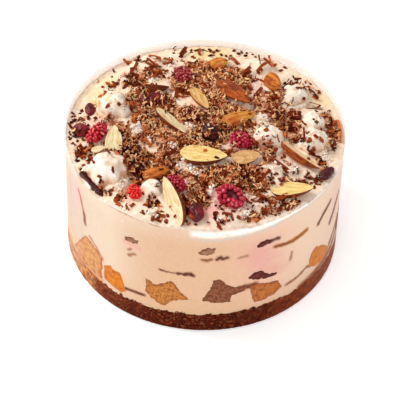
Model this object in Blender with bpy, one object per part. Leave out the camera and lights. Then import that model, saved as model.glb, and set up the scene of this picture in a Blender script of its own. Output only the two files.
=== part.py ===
"""Bento cake in its clear collar, about 12 cm across: a crumb base, a whipped cream filling with biscuit and
fruit set against the collar, and almonds, raspberries, cherries and chocolate shavings on top.

Metres, +Z up. The origin is the middle of the underside, and the cake's front faces -Y.
Angles round the cake are in degrees from the front, growing towards +X.
"""

import math
import random

import bmesh
import bpy
from mathutils import Euler, Matrix, Vector, noise
from mathutils.bvhtree import BVHTree

MM = 0.001

# The cake and its collar
RIM_RADIUS = 60.0 * MM  # outside of the collar at its rim
FOOT_RADIUS = 62.4 * MM  # outside of the collar at its foot: the cake has settled a little
RIM_HEIGHT = 63.4 * MM
FILM = 0.4 * MM  # thickness of the collar
SEAM_ANGLE = -62  # where the collar's ends overlap
SEAM_ARC = 12
GAP = 0.3 * MM  # clearance between neighbouring pieces
BASE_HEIGHT = 9.4 * MM
BASE_LEAN = 1.1 * MM  # how much higher the crumb base is on its thick side
BASE_LEAN_ANGLE = 40
BASE_WAVE = 0.5 * MM  # how far the crumb base's top edge wanders up and down
SHOULDER = 0.85 * FOOT_RADIUS  # inside this radius the crumb base is level
CREAM_EDGE = 59.0 * MM  # where the cream meets the collar
CROWN = 1.8 * MM  # extra height of the cream in the middle
RIPPLE = 0.7 * MM  # height of the small waves in the cream's top
RIPPLE_SIZE = 8 * MM
SWELL_ROUNDNESS = 1.3
SHARP_ANGLE = 50  # edges bent by more than this stay sharp, in degrees
SEGMENTS = 56  # sides of the cake all the way round
RINGS = 9  # rings in the cream's top

# Low swells of the cream between the toppings: x, y, radius, height, in millimetres
SWELLS = (
    (-41, -31, 11, 2.5),
    (-39, 10, 11, 2.5),
    (-29, 1, 7, 2.5),
    (-14, -11, 8, 2.5),
    (27, -9, 9, 2.5),
    (46, -3, 12, 2.0),
    (28, -29, 8, 2.5),
    (10, -53, 8, 2.0),
    (-28, 41, 9, 3.0),
    (4, 30, 8, 2.5),
    (24, 44, 8, 2.5),
    (42, 25, 9, 2.5),
)
# Dollops of cream that stand up in rounded heaps: x, y, half sizes across and along, rise, in millimetres
DOLLOPS = (
    (-39, -29.5, 8.5, 8.0, 7.0),
    (-39.5, 9.5, 6.0, 8.0, 6.0),
    (-21, -38, 5.0, 4.0, 4.0),
    (26.5, -8.5, 7.0, 6.5, 5.5),
    (45.5, -8, 6.0, 6.5, 6.0),
    (46.5, 4, 5.5, 6.0, 5.5),
    (38.5, 22, 6.5, 6.0, 4.5),
)
DOLLOP_SINK = 0.8 * MM
DOLLOP_TURN = 37  # degrees that each dollop is turned from the one before
DOLLOP_SIDES = 9
DOLLOP_ROWS = 6

# Almonds: x, y, heading, length, width, form, roll, pitch, lift of the middle above the cream, in mm and
# degrees
ALMONDS = (
    (-38.2, -11.5, 92, 17.0, 6.9, "half", 6, -4, 2.2),
    (-44.5, -16.7, 31, 6.0, 3.6, "half", 0, 0, 1.4),
    (-14.5, 1.0, -52, 20.0, 6.8, "half", -27, 0, 2.6),
    (-2.6, 17.0, -64, 15.4, 6.2, "half", -14, 0, 2.4),
    (-0.4, -20.0, -4, 19.6, 10.4, "half", -4, 0, 3.0),
    (17.4, -20.0, 22, 11.8, 7.0, "half", 6, 0, 2.2),
    (-12.5, -47.4, 110, 23.2, 8.8, "half", -62, -16, 3.2),
    (12.1, 21.4, -50, 21.2, 8.0, "whole", 0, -6, 2.8),
    (29.5, 30.0, -53, 10.5, 8.0, "whole", 58, -12, 2.0),
    (5.4, 43.4, 28, 8.6, 7.4, "whole", 0, -10, 1.2),
    (14.3, 5.1, 25, 15.8, 7.0, "whole", 0, 0, 1.6),
    (-19.5, -30.2, 32, 12.4, 6.0, "whole", 0, 6, 1.2),
    (40.0, -16.8, -49, 23.0, 8.6, "half", -44, 0, 2.6),
    (32.0, -21.8, -46, 11.2, 4.0, "half", -58, 0, 0.9),
    (35.8, -37.4, -3, 17.0, 8.2, "half", -6, -10, 2.4),
    (-22.6, 25.4, -3, 12.6, 7.6, "half", -45, 0, 2.0),
)
ALMOND_THICKNESS = {"whole": 0.62, "half": 0.9}  # of the width, as if the halves were whole
ALMOND_TAPER = 0.30  # how much narrower the pointed end is
ALMOND_SIDES = 8
ALMOND_ROWS = 7

# Fruit on top: x, y, heading, length, width, lift
RASPBERRIES = (
    (-45.8, -7.2, 63, 13.2, 6.8, 2.0),
    (-11.0, -37.2, -48, 10.2, 6.2, 2.4),
    (15.3, -9.8, -26, 10.4, 7.2, 2.4),
    (11.0, -43.6, -41, 13.2, 9.2, 2.6),
    (-27.8, -41.4, -66, 7.8, 5.4, 1.8),
    (-10.5, 33.6, -55, 10.2, 7.2, 2.0),
)
CHERRIES = (
    (-52.6, -4.6, -24, 8.6, 6.8, 1.4),
    (-50.2, 9.6, -85, 8.2, 4.7, 1.0),
    (-23.5, 16.2, 8, 12.6, 6.9, 1.4),
    (-6.5, 7.0, -50, 9.4, 7.0, 1.4),
    (2.0, -4.8, -45, 10.8, 8.6, 2.2),
    (-30.0, -17.6, -45, 9.2, 7.4, 2.0),
    (-28.9, -27.4, -49, 9.0, 7.0, 1.6),
    (31.0, 8.6, -33, 7.0, 5.8, 1.8),
    (38.6, 9.3, -41, 6.4, 5.2, 1.2),
    (50.6, -25.8, 52, 9.2, 5.3, 1.2),
    (-3.2, -51.0, -72, 11.2, 7.2, 1.4),
)

DRUPELET_VALLEY = 0.87  # how far in the valleys between a raspberry's drupelets lie
PEAK_MARGIN = 0.05  # a corner this close to a drupelet's top is that top
BERRY_HEIGHT = 0.9  # of the width
CHERRY_DENTS = 0.3
CHERRY_WAVES = 1.3  # how close together a cherry's dents lie
CHERRY_HEIGHT = 0.85  # of the width
POCKET_GROWTH = 1.17  # lets a faceted pocket clear the nut or berry in it
POCKET_SIDES = 8
POCKET_ROWS = 4

# Chocolate strips that lie against the collar: angle, arc, height and thickness in mm
RIM_STRIPS = ((-53, 15, 3.2, 1.4), (92, 15, 3.0, 1.6))
RIM_STRIP_INSET = 1.9 * MM  # from the collar's inner wall to the strip's middle
RIM_STRIP_SINK = 0.8 * MM  # how deep the strip sits in the cream
RIM_STRIP_STATIONS = 6
RIM_STRIP_ROOM = 4 * MM  # how far the strip's pocket reaches above it

# Outlines of the biscuit and fruit that show at the front, as corners at an angle and a height in mm
FRONT_PIECES = {
    "sponge_piece_1": (
        (-54, 29.5), (-57.5, 24.5), (-62, 18), (-66, 11.6), (-54, 11.2),
        (-43.6, 11.2), (-43.2, 17), (-43, 23.5), (-46.2, 27.2), (-50.5, 29),
    ),
    "peach_piece_1": (
        (-42.3, 21.5), (-38.6, 24.5), (-37.2, 22.4), (-33.5, 23.2), (-31.9, 19.4),
        (-30.7, 13.6), (-32.4, 11.4), (-36, 11.4), (-39, 12.4), (-42.3, 13.6),
    ),
    "biscuit_piece_1": (
        (-21.9, 26.9), (-18.6, 25), (-16.2, 25.2), (-12.8, 28.4), (-10, 28.4), (-8.8, 25),
        (-3.7, 18.9), (-9.3, 18), (-12.3, 14.9), (-15.2, 12.6), (-18.2, 15), (-22, 18.8),
    ),
    "brownie_piece_1": (
        (0.5, 18.9), (3.8, 26.3), (5, 31.4), (8.5, 31.2), (10.4, 28), (13.5, 26),
        (17.6, 26.1), (17.6, 22.6), (12.4, 21), (11.9, 17), (6, 17.2),
    ),
    "cherry_slice_1": (
        (18.4, 29.8), (20.9, 32.4), (24.2, 32.7), (26.8, 29.4), (32.5, 28),
        (31, 26.6), (27, 26.6), (21, 27.8),
    ),
    "peach_piece_2": (
        (19.6, 23.8), (22.3, 25.2), (27.5, 23.8), (31.9, 22.8), (34, 17.6),
        (31.5, 15.2), (26.7, 13.9), (21.7, 13.6), (20.4, 19),
    ),
    "peach_piece_3": (
        (48.3, 22.4), (49.9, 26.5), (53.4, 28.4), (59.8, 22.8), (65.5, 16),
        (62.8, 14), (58.7, 13.6), (53.6, 15.2), (49, 19),
    ),
    "date_slice_1": (
        (-1.8, 46.6), (-0.2, 48.7), (2.4, 50), (5, 49.7), (5.4, 47.8), (4.3, 46), (0.8, 45.5),
    ),
    "date_slice_2": (
        (-31.8, 44.5), (-30.5, 46.6), (-27.3, 47.6), (-24.7, 46.6), (-25.5, 45), (-28, 44),
    ),
    "cherry_slice_3": (
        (20.5, 46.4), (22.8, 49.3), (25.7, 49.8), (28.2, 48.6), (27.4, 46.8), (24.3, 46.2),
    ),
}
# Pieces round the sides and back: name, angle, height, width, tall in mm
HIDDEN_PIECES = (
    ("brownie_piece_2", 81, 19.5, 15, 11),
    ("biscuit_piece_2", 102, 21.5, 17, 12),
    ("cherry_slice_2", 119, 30.5, 11, 5.5),
    ("sponge_piece_2", 130, 18.8, 21, 11),
    ("peach_piece_4", 158, 19.5, 13, 10),
    ("brownie_piece_3", 183, 22.5, 17, 12),
    ("biscuit_piece_3", 209, 18.5, 18, 11),
    ("peach_piece_5", 235, 20.5, 14, 11),
    ("brownie_piece_4", 264, 21.0, 16, 11),
    ("date_slice_3", 146, 45.5, 8, 4),
    ("cherry_slice_4", 222, 46.5, 9, 4),
)
PIECE_DEPTH = {"sponge": 8, "peach": 7, "biscuit": 7, "brownie": 7, "cherry": 4.5, "date": 4}  # mm
OUTLINE_POINTS = 9
OUTLINE_JITTER = 0.16  # how uneven a hidden side piece's outline is
OUTLINE_SQUARENESS = 0.6  # 0 gives a round outline and 1 a square one
FACE_SHARE = 0.5  # size of the inner ring of a side piece's outer face
INNER_SHARE = 0.8  # size of a side piece's inner end against its outer face
POCKET_REACH = 3 * MM  # how far a side piece's pocket starts outside the cream
POCKET_SWELL = 0.4 * MM  # how far a side piece's pocket goes beyond its outline

SHAVINGS = 36
SHAVING_SEED = 12
SHAVING_LENGTH = (4.5 * MM, 8.0 * MM)
SHAVING_WIDTH = (1.6 * MM, 2.4 * MM)
SHAVING_THICKNESS = 1.1 * MM
SHAVING_CURL = 1.0 * MM  # how far the ends rise
SHAVING_SINK = 0.6 * MM
SHAVING_SPACING = 0.45  # of the length, kept clear round each
TOPPING_CLEARANCE = 0.8 * MM
RIM_CLEARANCE = 0.5 * MM
BAR_CORNERS = ((-1, 0), (1, 0), (1, 1), (-1, 1))  # section of a flat bar: across -1 to 1, up 0 to 1

COLOURS = {  # base colour, roughness
    "film": ((0.93, 0.95, 0.96), 0.08),
    "crumb": ((0.09, 0.035, 0.018), 0.9),
    "cream": ((0.86, 0.72, 0.58), 0.5),
    "almond": ((0.45, 0.18, 0.06), 0.6),
    "almond_cut": ((0.85, 0.67, 0.40), 0.6),
    "raspberry": ((0.45, 0.01, 0.03), 0.35),
    "cherry": ((0.08, 0.008, 0.012), 0.35),
    "chocolate": ((0.07, 0.022, 0.012), 0.5),
    "sponge": ((0.62, 0.40, 0.24), 0.9),
    "peach": ((0.72, 0.29, 0.06), 0.5),
    "biscuit": ((0.55, 0.27, 0.08), 0.85),
    "brownie": ((0.22, 0.09, 0.05), 0.9),
    "date": ((0.25, 0.10, 0.06), 0.6),
}


def clear_scene():
    for obj in list(bpy.data.objects):
        bpy.data.objects.remove(obj, do_unlink=True)


def material(name):
    """The material of that name, made from COLOURS the first time."""
    found = bpy.data.materials.get(name)
    if found:
        return found
    colour, roughness = COLOURS[name]
    made = bpy.data.materials.new(name)
    made.use_nodes = True
    shader = made.node_tree.nodes["Principled BSDF"]
    shader.inputs["Base Color"].default_value = (*colour, 1.0)
    shader.inputs["Roughness"].default_value = roughness
    shader.inputs["Metallic"].default_value = 0.0
    if name == "film":
        shader.inputs["Alpha"].default_value = 0.2
    return made


def object_of(name, bm, finish, collection=None):
    """Turns a bmesh into a named object, with its faces pointing outwards."""
    bmesh.ops.recalc_face_normals(bm, faces=bm.faces)
    mesh = bpy.data.meshes.new(name)
    bm.to_mesh(mesh)
    bm.free()
    mesh.materials.append(material(finish))
    mesh.shade_smooth()
    mesh.set_sharp_from_angle(angle=math.radians(SHARP_ANGLE))
    obj = bpy.data.objects.new(name, mesh)
    (collection or bpy.context.scene.collection).objects.link(obj)
    return obj


def helper_collection(name):
    made = bpy.data.collections.new(name)
    bpy.context.scene.collection.children.link(made)
    return made


def wall_radius(z):
    """Outside radius of the collar at height z."""
    return FOOT_RADIUS + (RIM_RADIUS - FOOT_RADIUS) * z / RIM_HEIGHT


def food_radius(z):
    """Radius of the cake inside the collar."""
    return wall_radius(z) - FILM - GAP


def on_side(angle, radius, z):
    """The point at that angle, in radians from the front."""
    return Vector((radius * math.sin(angle), -radius * math.cos(angle), z))


def wave(angle, seed, pitch=2.2):
    """Smooth noise round the cake, between -1 and 1."""
    return noise.noise(Vector((pitch * math.cos(angle), pitch * math.sin(angle), seed)))


def base_top(angle, share=1.0):
    """Height of the crumb base's top at its edge. share runs from 0 at the middle to 1 at the edge."""
    crumbs = wave(angle, 3.1, 2.0) + 0.8 * wave(angle, 7.7, 9.0)
    lean = BASE_LEAN * math.cos(angle - math.radians(BASE_LEAN_ANGLE))
    return BASE_HEIGHT + share * (BASE_WAVE * crumbs + lean)


def cream_top(x, y):
    """Height of the cream's upper surface."""
    share = math.hypot(x, y) / food_radius(CREAM_EDGE)
    height = CREAM_EDGE + CROWN * (1 - min(share, 1) ** 4)
    height += RIPPLE * noise.noise(Vector((x, y, 0)) / RIPPLE_SIZE)
    for middle_x, middle_y, radius, rise in SWELLS:
        away = math.hypot(x - middle_x * MM, y - middle_y * MM) / (radius * MM)
        if away < 1:
            height += rise * MM * (1 - away**2) ** SWELL_ROUNDNESS
    return height


def ring(bm, points):
    return [bm.verts.new(p) for p in points]


def bridge(bm, lower, upper):
    """Triangles between two rings of equal length."""
    count = len(lower)
    for i in range(count):
        j = (i + 1) % count
        bm.faces.new((lower[i], lower[j], upper[j]))
        bm.faces.new((lower[i], upper[j], upper[i]))


def cap(bm, around, middle):
    """A fan from a ring to the point in its middle."""
    centre = bm.verts.new(middle)
    for i, vert in enumerate(around):
        bm.faces.new((vert, around[(i + 1) % len(around)], centre))


def turn_angles():
    return [2 * math.pi * i / SEGMENTS for i in range(SEGMENTS)]


def collar_outline():
    """Angles round the collar, each with how far its outside stands out there over the tucked-in end."""
    start, end = (math.radians(SEAM_ANGLE + side * SEAM_ARC / 2) for side in (-1, 1))
    edge = math.radians(0.4)
    outline = [(start - edge, 0.0), (start + edge, FILM), (end - edge, FILM), (end + edge, 0.0)]
    for angle in turn_angles():
        lapped = start < angle - 2 * math.pi < end
        outline.append((angle - 2 * math.pi, FILM if lapped else 0.0))
    return sorted(outline)


def make_collar():
    """The clear strip wrapped round the cake, with its outer end lapped over the inner one."""
    bm = bmesh.new()
    loops = []
    for height, outside in ((0, True), (RIM_HEIGHT, True), (RIM_HEIGHT, False), (0, False)):
        points = []
        for angle, lap in collar_outline():
            radius = wall_radius(height) + (lap if outside else -FILM)
            points.append(on_side(angle, radius, height))
        loops.append(ring(bm, points))
    for i, loop in enumerate(loops):
        bridge(bm, loop, loops[(i + 1) % len(loops)])
    return object_of("collar", bm, "film")


def make_base():
    """The pressed crumb base, whose uneven top edge shows through the collar."""
    bm = bmesh.new()
    angles = turn_angles()
    rows = (0.0, 0.45, 1.0)
    loops = []
    for row in rows:
        points = []
        for angle in angles:
            height = base_top(angle) * row
            crumb = 0.35 * MM * abs(wave(angle, 11 + 5 * row, 12)) if 0 < row < 1 else 0
            points.append(on_side(angle, food_radius(height) - crumb, height))
        loops.append(ring(bm, points))
    loops.append(ring(bm, [on_side(a, SHOULDER, base_top(a, 0.5)) for a in angles]))
    for lower, upper in zip(loops, loops[1:]):
        bridge(bm, lower, upper)
    cap(bm, loops[-1], (0, 0, BASE_HEIGHT))
    bm.faces.new(reversed(loops[0]))
    return object_of("crumb_base", bm, "crumb")


def make_cream():
    """The cream, from the base up to its uneven top, before the toppings are pressed into it."""
    bm = bmesh.new()
    angles = turn_angles()
    foot = [(a, base_top(a) + GAP) for a in angles]
    loops = [ring(bm, [on_side(a, food_radius(z), z) for a, z in foot])]
    under = ring(bm, [on_side(a, SHOULDER, base_top(a, 0.5) + GAP) for a in angles])
    bridge(bm, loops[0], under)
    cap(bm, under, (0, 0, BASE_HEIGHT + GAP))
    for i in range(RINGS, 0, -1):
        points = []
        for angle in angles:
            edge = on_side(angle, food_radius(CREAM_EDGE) * i / RINGS, 0)
            height = cream_top(edge.x, edge.y)
            radius = food_radius(height) if i == RINGS else edge.length
            points.append(on_side(angle, radius, height))
        loops.append(ring(bm, points))
    for lower, upper in zip(loops, loops[1:]):
        bridge(bm, lower, upper)
    cap(bm, loops[-1], (0, 0, cream_top(0, 0)))
    return object_of("cream", bm, "cream")


def make_dollop(index, spec, collection):
    """A rounded heap of cream, half sunk in the cream below it."""
    x, y, across, along, rise = spec
    bm = bmesh.new()
    bmesh.ops.create_uvsphere(bm, u_segments=DOLLOP_SIDES, v_segments=DOLLOP_ROWS, radius=1)
    bmesh.ops.scale(bm, verts=bm.verts, vec=[v * MM for v in (across, along, rise)])
    obj = object_of(f"dollop_{index + 1}", bm, "cream", collection)
    obj.location = (x * MM, y * MM, cream_top(x * MM, y * MM) - DOLLOP_SINK)
    obj.rotation_euler = (0, 0, math.radians(DOLLOP_TURN * index))


def almond_shape(bm, length, width, thickness, along):
    """A whole almond lying along X, its point at +X, with that many rows of faces along it."""
    bmesh.ops.create_uvsphere(bm, u_segments=ALMOND_SIDES, v_segments=along, radius=1)
    bmesh.ops.rotate(bm, verts=bm.verts, matrix=Matrix.Rotation(math.pi / 2, 3, "Y"))
    for vert in bm.verts:
        share = vert.co.x
        narrow = 1 - ALMOND_TAPER * share
        vert.co.x = share * length / 2
        vert.co.y *= narrow * width / 2
        vert.co.z *= narrow * thickness / 2


def make_almond(index, spec, pockets):
    x, y, heading, length, width, form, roll, pitch, lift = spec
    place = Vector((x * MM, y * MM, cream_top(x * MM, y * MM) + lift * MM))
    turn = Euler([math.radians(v) for v in (roll, pitch, heading)])
    thickness = width * ALMOND_THICKNESS[form]
    bm = bmesh.new()
    almond_shape(bm, length * MM, width * MM, thickness * MM, ALMOND_ROWS)
    if form == "half":
        whole = bm.verts[:] + bm.edges[:] + bm.faces[:]
        cut = bmesh.ops.bisect_plane(bm, geom=whole, plane_no=(0, 0, 1), clear_outer=True)
        rim = [part for part in cut["geom_cut"] if isinstance(part, bmesh.types.BMEdge)]
        bmesh.ops.contextual_create(bm, geom=rim)
    obj = object_of(f"almond_{index + 1}", bm, "almond")
    obj.data.materials.append(material("almond_cut"))
    for face in obj.data.polygons:
        face.material_index = int(form == "half" and face.normal.z > 0.99)
    obj.location, obj.rotation_euler = place, turn
    hollow = bmesh.new()
    grown = [POCKET_GROWTH * size * MM + 2 * GAP for size in (length, width, thickness)]
    almond_shape(hollow, *grown, POCKET_ROWS)
    cutter = object_of(f"almond_pocket_{index + 1}", hollow, "cream", pockets)
    cutter.location, cutter.rotation_euler = place, turn


def round_pocket(name, obj, length, width, pockets):
    """A cutter a little larger than a berry, in the berry's place."""
    bm = bmesh.new()
    bmesh.ops.create_uvsphere(bm, u_segments=POCKET_SIDES, v_segments=POCKET_ROWS, radius=1)
    bmesh.ops.scale(bm, verts=bm.verts, vec=[POCKET_GROWTH * v / 2 + GAP for v in (length, width, width)])
    cutter = object_of(name, bm, "cream", pockets)
    cutter.location, cutter.rotation_euler = obj.location, obj.rotation_euler


def make_raspberry(index, spec, pockets):
    """An icosphere whose first corners stand up as drupelets and whose later ones are valleys."""
    x, y, heading, length, width, lift = spec
    bm = bmesh.new()
    bmesh.ops.create_icosphere(bm, subdivisions=3, radius=1)
    peaks = bmesh.new()
    bmesh.ops.create_icosphere(peaks, subdivisions=2, radius=1)
    tops = [v.co.copy() for v in peaks.verts]
    peaks.free()
    for vert in bm.verts:
        near = min((vert.co - top).length for top in tops)
        vert.co *= 1.0 if near < PEAK_MARGIN else DRUPELET_VALLEY
    sizes = [v * MM / 2 for v in (length, width, width * BERRY_HEIGHT)]
    bmesh.ops.scale(bm, verts=bm.verts, vec=sizes)
    obj = object_of(f"raspberry_{index + 1}", bm, "raspberry")
    obj.location = (x * MM, y * MM, cream_top(x * MM, y * MM) + lift * MM)
    obj.rotation_euler = (0, 0, math.radians(heading))
    round_pocket(f"raspberry_pocket_{index + 1}", obj, length * MM, width * MM, pockets)


def make_cherry(index, spec, pockets):
    """A soft dark cherry, dented by a slow ripple."""
    x, y, heading, length, width, lift = spec
    bm = bmesh.new()
    bmesh.ops.create_icosphere(bm, subdivisions=2, radius=1)
    for vert in bm.verts:
        dent = abs(noise.noise(vert.co * CHERRY_WAVES + Vector((index * 3.0, 0, 0))))
        vert.co *= 1 - CHERRY_DENTS * dent
    sizes = [v * MM / 2 for v in (length, width, width * CHERRY_HEIGHT)]
    bmesh.ops.scale(bm, verts=bm.verts, vec=sizes)
    obj = object_of(f"cherry_{index + 1}", bm, "cherry")
    obj.location = (x * MM, y * MM, cream_top(x * MM, y * MM) + lift * MM)
    obj.rotation_euler = (0, 0, math.radians(heading))
    round_pocket(f"cherry_pocket_{index + 1}", obj, length * MM, width * MM, pockets)


def strip_shape(bm, angle, arc, height, thickness, foot):
    """A bar bent along the collar."""
    middle = wall_radius(foot) - FILM - RIM_STRIP_INSET
    rings = []
    for i in range(RIM_STRIP_STATIONS):
        turn = math.radians(angle + arc * (i / (RIM_STRIP_STATIONS - 1) - 0.5))
        section = []
        for side, up in BAR_CORNERS:
            section.append(on_side(turn, middle + side * thickness / 2, foot + up * height))
        rings.append(ring(bm, section))
    for first, second in zip(rings, rings[1:]):
        bridge(bm, first, second)
    bm.faces.new(rings[0])
    bm.faces.new(reversed(rings[-1]))


def make_rim_strip(index, spec, pockets):
    angle, arc, height, thickness = spec
    height, thickness = height * MM, thickness * MM
    foot = CREAM_EDGE - RIM_STRIP_SINK
    bm = bmesh.new()
    strip_shape(bm, angle, arc, height, thickness, foot)
    object_of(f"chocolate_strip_{index + 1}", bm, "chocolate")
    hollow = bmesh.new()
    strip_shape(hollow, angle, arc + 1, height + RIM_STRIP_ROOM, thickness + 2 * GAP, foot - GAP)
    object_of(f"strip_pocket_{index + 1}", hollow, "cream", pockets)


def seeded_outline(angle, height, width, tall, seed):
    """An uneven blocky outline on the cake's side, as corners at an angle in radians and a height."""
    draw = random.Random(seed)
    points = []
    for i in range(OUTLINE_POINTS):
        turn = 2 * math.pi * (i + 0.3 * draw.random()) / OUTLINE_POINTS
        reach = 1 + OUTLINE_JITTER * (2 * draw.random() - 1)
        square = max(abs(math.cos(turn)), abs(math.sin(turn))) ** -OUTLINE_SQUARENESS
        across = width / 2 * reach * square * math.cos(turn)
        up = tall / 2 * reach * square * math.sin(turn)
        points.append((angle + across / food_radius(height), height + up))
    return points


def widened(outline, distance):
    """The outline, as flat points anticlockwise or clockwise, moved outwards by a distance on every side."""
    turns = sum(a.cross(b) for a, b in zip(outline, outline[1:] + outline[:1]))
    outward = Matrix.Rotation(math.copysign(math.pi / 2, -turns), 2)
    normals = [outward @ (b - a).normalized() for a, b in zip(outline, outline[1:] + outline[:1])]
    moved = []
    for i, corner in enumerate(outline):
        before, after = normals[i - 1], normals[i]
        moved.append(corner + distance * (before + after) / (1 + before.dot(after)))
    return moved


def side_block(bm, outline, layers, swell=0.0):
    """A block from the cake's side inwards. layers holds (share of the outline, depth) pairs."""
    angle = sum(a for a, _ in outline) / len(outline)
    height = sum(z for _, z in outline) / len(outline)
    radius = food_radius(height)
    flat = [Vector(((a - angle) * radius, z - height)) for a, z in outline]
    loops = []
    for share, depth in layers:
        points = []
        for across, up in widened([corner * share for corner in flat], swell):
            z = height + up
            points.append(on_side(angle + across / radius, food_radius(z) - depth, z))
        loops.append(ring(bm, points))
    cap(bm, loops[0], on_side(angle, radius - layers[0][1], height))
    for first, second in zip(loops, loops[1:]):
        bridge(bm, first, second)
    cap(bm, loops[-1], on_side(angle, radius - layers[-1][1], height))


def make_side_piece(name, outline, pockets):
    """A piece of biscuit or fruit with its outer face against the collar, and the pocket that it fills."""
    kind = name.split("_")[0]
    depth = PIECE_DEPTH[kind] * MM
    bm = bmesh.new()
    side_block(bm, outline, ((FACE_SHARE, 0.0), (1.0, 0.0), (INNER_SHARE, depth)))
    object_of(name, bm, kind)
    outer_share = 1 + (1 - INNER_SHARE) * POCKET_REACH / depth
    hollow = bmesh.new()
    layers = ((outer_share, -POCKET_REACH), (INNER_SHARE, depth + GAP))
    side_block(hollow, outline, layers, swell=POCKET_SWELL)
    object_of(f"pocket_of_{name}", hollow, "cream", pockets)


def make_side_pieces(pockets):
    for name, corners in FRONT_PIECES.items():
        make_side_piece(name, [(math.radians(a), z * MM) for a, z in corners], pockets)
    for seed, (name, angle, height, width, tall) in enumerate(HIDDEN_PIECES):
        outline = seeded_outline(math.radians(angle), height * MM, width * MM, tall * MM, seed)
        make_side_piece(name, outline, pockets)


def clear_of_toppings(point, reach):
    """True where a shaving of that reach touches no nut, fruit or dollop and stays off the collar."""
    if point.length > food_radius(CREAM_EDGE) - reach - RIM_CLEARANCE:
        return False
    for spec in ALMONDS + RASPBERRIES + CHERRIES:
        x, y, heading, length, width = spec[:5]
        local = Matrix.Rotation(-math.radians(heading), 2) @ (point - Vector((x, y)) * MM)
        if math.hypot(local.x / (length * MM / 2 + reach), local.y / (width * MM / 2 + reach)) < 1:
            return False
    for x, y, across, along, _ in DOLLOPS:
        local = point - Vector((x, y)) * MM
        if math.hypot(local.x / (across * MM), local.y / (along * MM)) < 1:
            return False
    for angle, arc, _, thickness in RIM_STRIPS:
        middle = wall_radius(CREAM_EDGE) - FILM - RIM_STRIP_INSET
        for share in (-0.5, 0, 0.5):
            place = on_side(math.radians(angle + share * arc), middle, 0).xy
            if (point - place).length < reach + arc * MM / 3 + thickness * MM:
                return False
    return True


def make_shaving(name, place, heading, length, width, collection):
    """A short curl of chocolate: a flat bar whose ends lift off the cream."""
    bm = bmesh.new()
    rings = []
    for share in (-0.5, 0.0, 0.5):
        rise = SHAVING_CURL * (2 * share) ** 2
        section = []
        for side, up in BAR_CORNERS:
            section.append((share * length, side * width / 2, rise + up * SHAVING_THICKNESS))
        rings.append(ring(bm, section))
    for first, second in zip(rings, rings[1:]):
        bridge(bm, first, second)
    bm.faces.new(rings[0])
    bm.faces.new(reversed(rings[-1]))
    obj = object_of(name, bm, "chocolate", collection)
    obj.location, obj.rotation_euler = place, (0, 0, heading)


def scatter_shavings(cream, collection):
    """Places shavings on the cream by seeded draws, clear of each other and of the toppings."""
    draw = random.Random(SHAVING_SEED)
    corners = [v.co for v in cream.data.vertices]
    surface = BVHTree.FromPolygons(corners, [p.vertices for p in cream.data.polygons])
    taken = []
    while len(taken) < SHAVINGS:
        length, width = draw.uniform(*SHAVING_LENGTH), draw.uniform(*SHAVING_WIDTH)
        turn, out = draw.uniform(0, 2 * math.pi), math.sqrt(draw.random())
        point = on_side(turn, out * food_radius(CREAM_EDGE), 0).xy
        heading = draw.uniform(0, math.pi)
        spacing = SHAVING_SPACING * length
        if any((point - other).length < spacing + reach for other, reach in taken):
            continue
        if not clear_of_toppings(point, length / 2 + TOPPING_CLEARANCE):
            continue
        place = surface.ray_cast(Vector((*point, RIM_HEIGHT * 2)), Vector((0, 0, -1)))[0]
        place.z -= SHAVING_SINK
        make_shaving(f"shaving_{len(taken) + 1}", place, heading, length, width, collection)
        taken.append((point, spacing))


def apply_boolean(obj, operation, collection):
    """Applies one Boolean with everything in the collection, then removes the collection's objects."""
    cut = obj.modifiers.new(operation.lower(), "BOOLEAN")
    cut.operation, cut.solver = operation, "MANIFOLD"
    cut.operand_type, cut.collection = "COLLECTION", collection
    bpy.context.view_layer.objects.active = obj
    bpy.ops.object.modifier_apply(modifier=cut.name)
    for other in list(collection.objects):
        bpy.data.objects.remove(other, do_unlink=True)
    bpy.data.collections.remove(collection)


def main():
    clear_scene()
    make_collar()
    make_base()
    cream = make_cream()
    dollops = helper_collection("dollops")
    for index, spec in enumerate(DOLLOPS):
        make_dollop(index, spec, dollops)
    apply_boolean(cream, "UNION", dollops)
    pockets = helper_collection("pockets")
    for index, spec in enumerate(ALMONDS):
        make_almond(index, spec, pockets)
    for index, spec in enumerate(RASPBERRIES):
        make_raspberry(index, spec, pockets)
    for index, spec in enumerate(CHERRIES):
        make_cherry(index, spec, pockets)
    for index, spec in enumerate(RIM_STRIPS):
        make_rim_strip(index, spec, pockets)
    make_side_pieces(pockets)
    apply_boolean(cream, "DIFFERENCE", pockets)
    shavings = helper_collection("shavings")
    scatter_shavings(cream, shavings)
    apply_boolean(cream, "UNION", shavings)


main()
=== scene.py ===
import math
import random

import bpy
import numpy as np
from mathutils import Euler, Matrix, Vector, noise
from mathutils.bvhtree import BVHTree


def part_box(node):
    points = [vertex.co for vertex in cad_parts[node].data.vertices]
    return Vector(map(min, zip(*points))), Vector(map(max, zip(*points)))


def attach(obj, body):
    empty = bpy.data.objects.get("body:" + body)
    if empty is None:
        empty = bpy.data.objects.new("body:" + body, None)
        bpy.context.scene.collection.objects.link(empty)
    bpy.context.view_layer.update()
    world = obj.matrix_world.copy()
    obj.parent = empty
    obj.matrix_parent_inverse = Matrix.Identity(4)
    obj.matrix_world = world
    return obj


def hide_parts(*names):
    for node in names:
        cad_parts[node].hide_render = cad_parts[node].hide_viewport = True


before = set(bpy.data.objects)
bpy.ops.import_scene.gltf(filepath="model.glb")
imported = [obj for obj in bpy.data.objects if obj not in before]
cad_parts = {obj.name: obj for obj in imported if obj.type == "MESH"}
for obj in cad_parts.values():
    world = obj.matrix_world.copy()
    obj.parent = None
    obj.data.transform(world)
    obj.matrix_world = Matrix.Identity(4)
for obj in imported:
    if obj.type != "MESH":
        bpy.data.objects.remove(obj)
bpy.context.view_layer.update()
mm = 0.001
bpy.context.scene.view_settings.view_transform = "Standard"
print("frame loaded")

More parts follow.
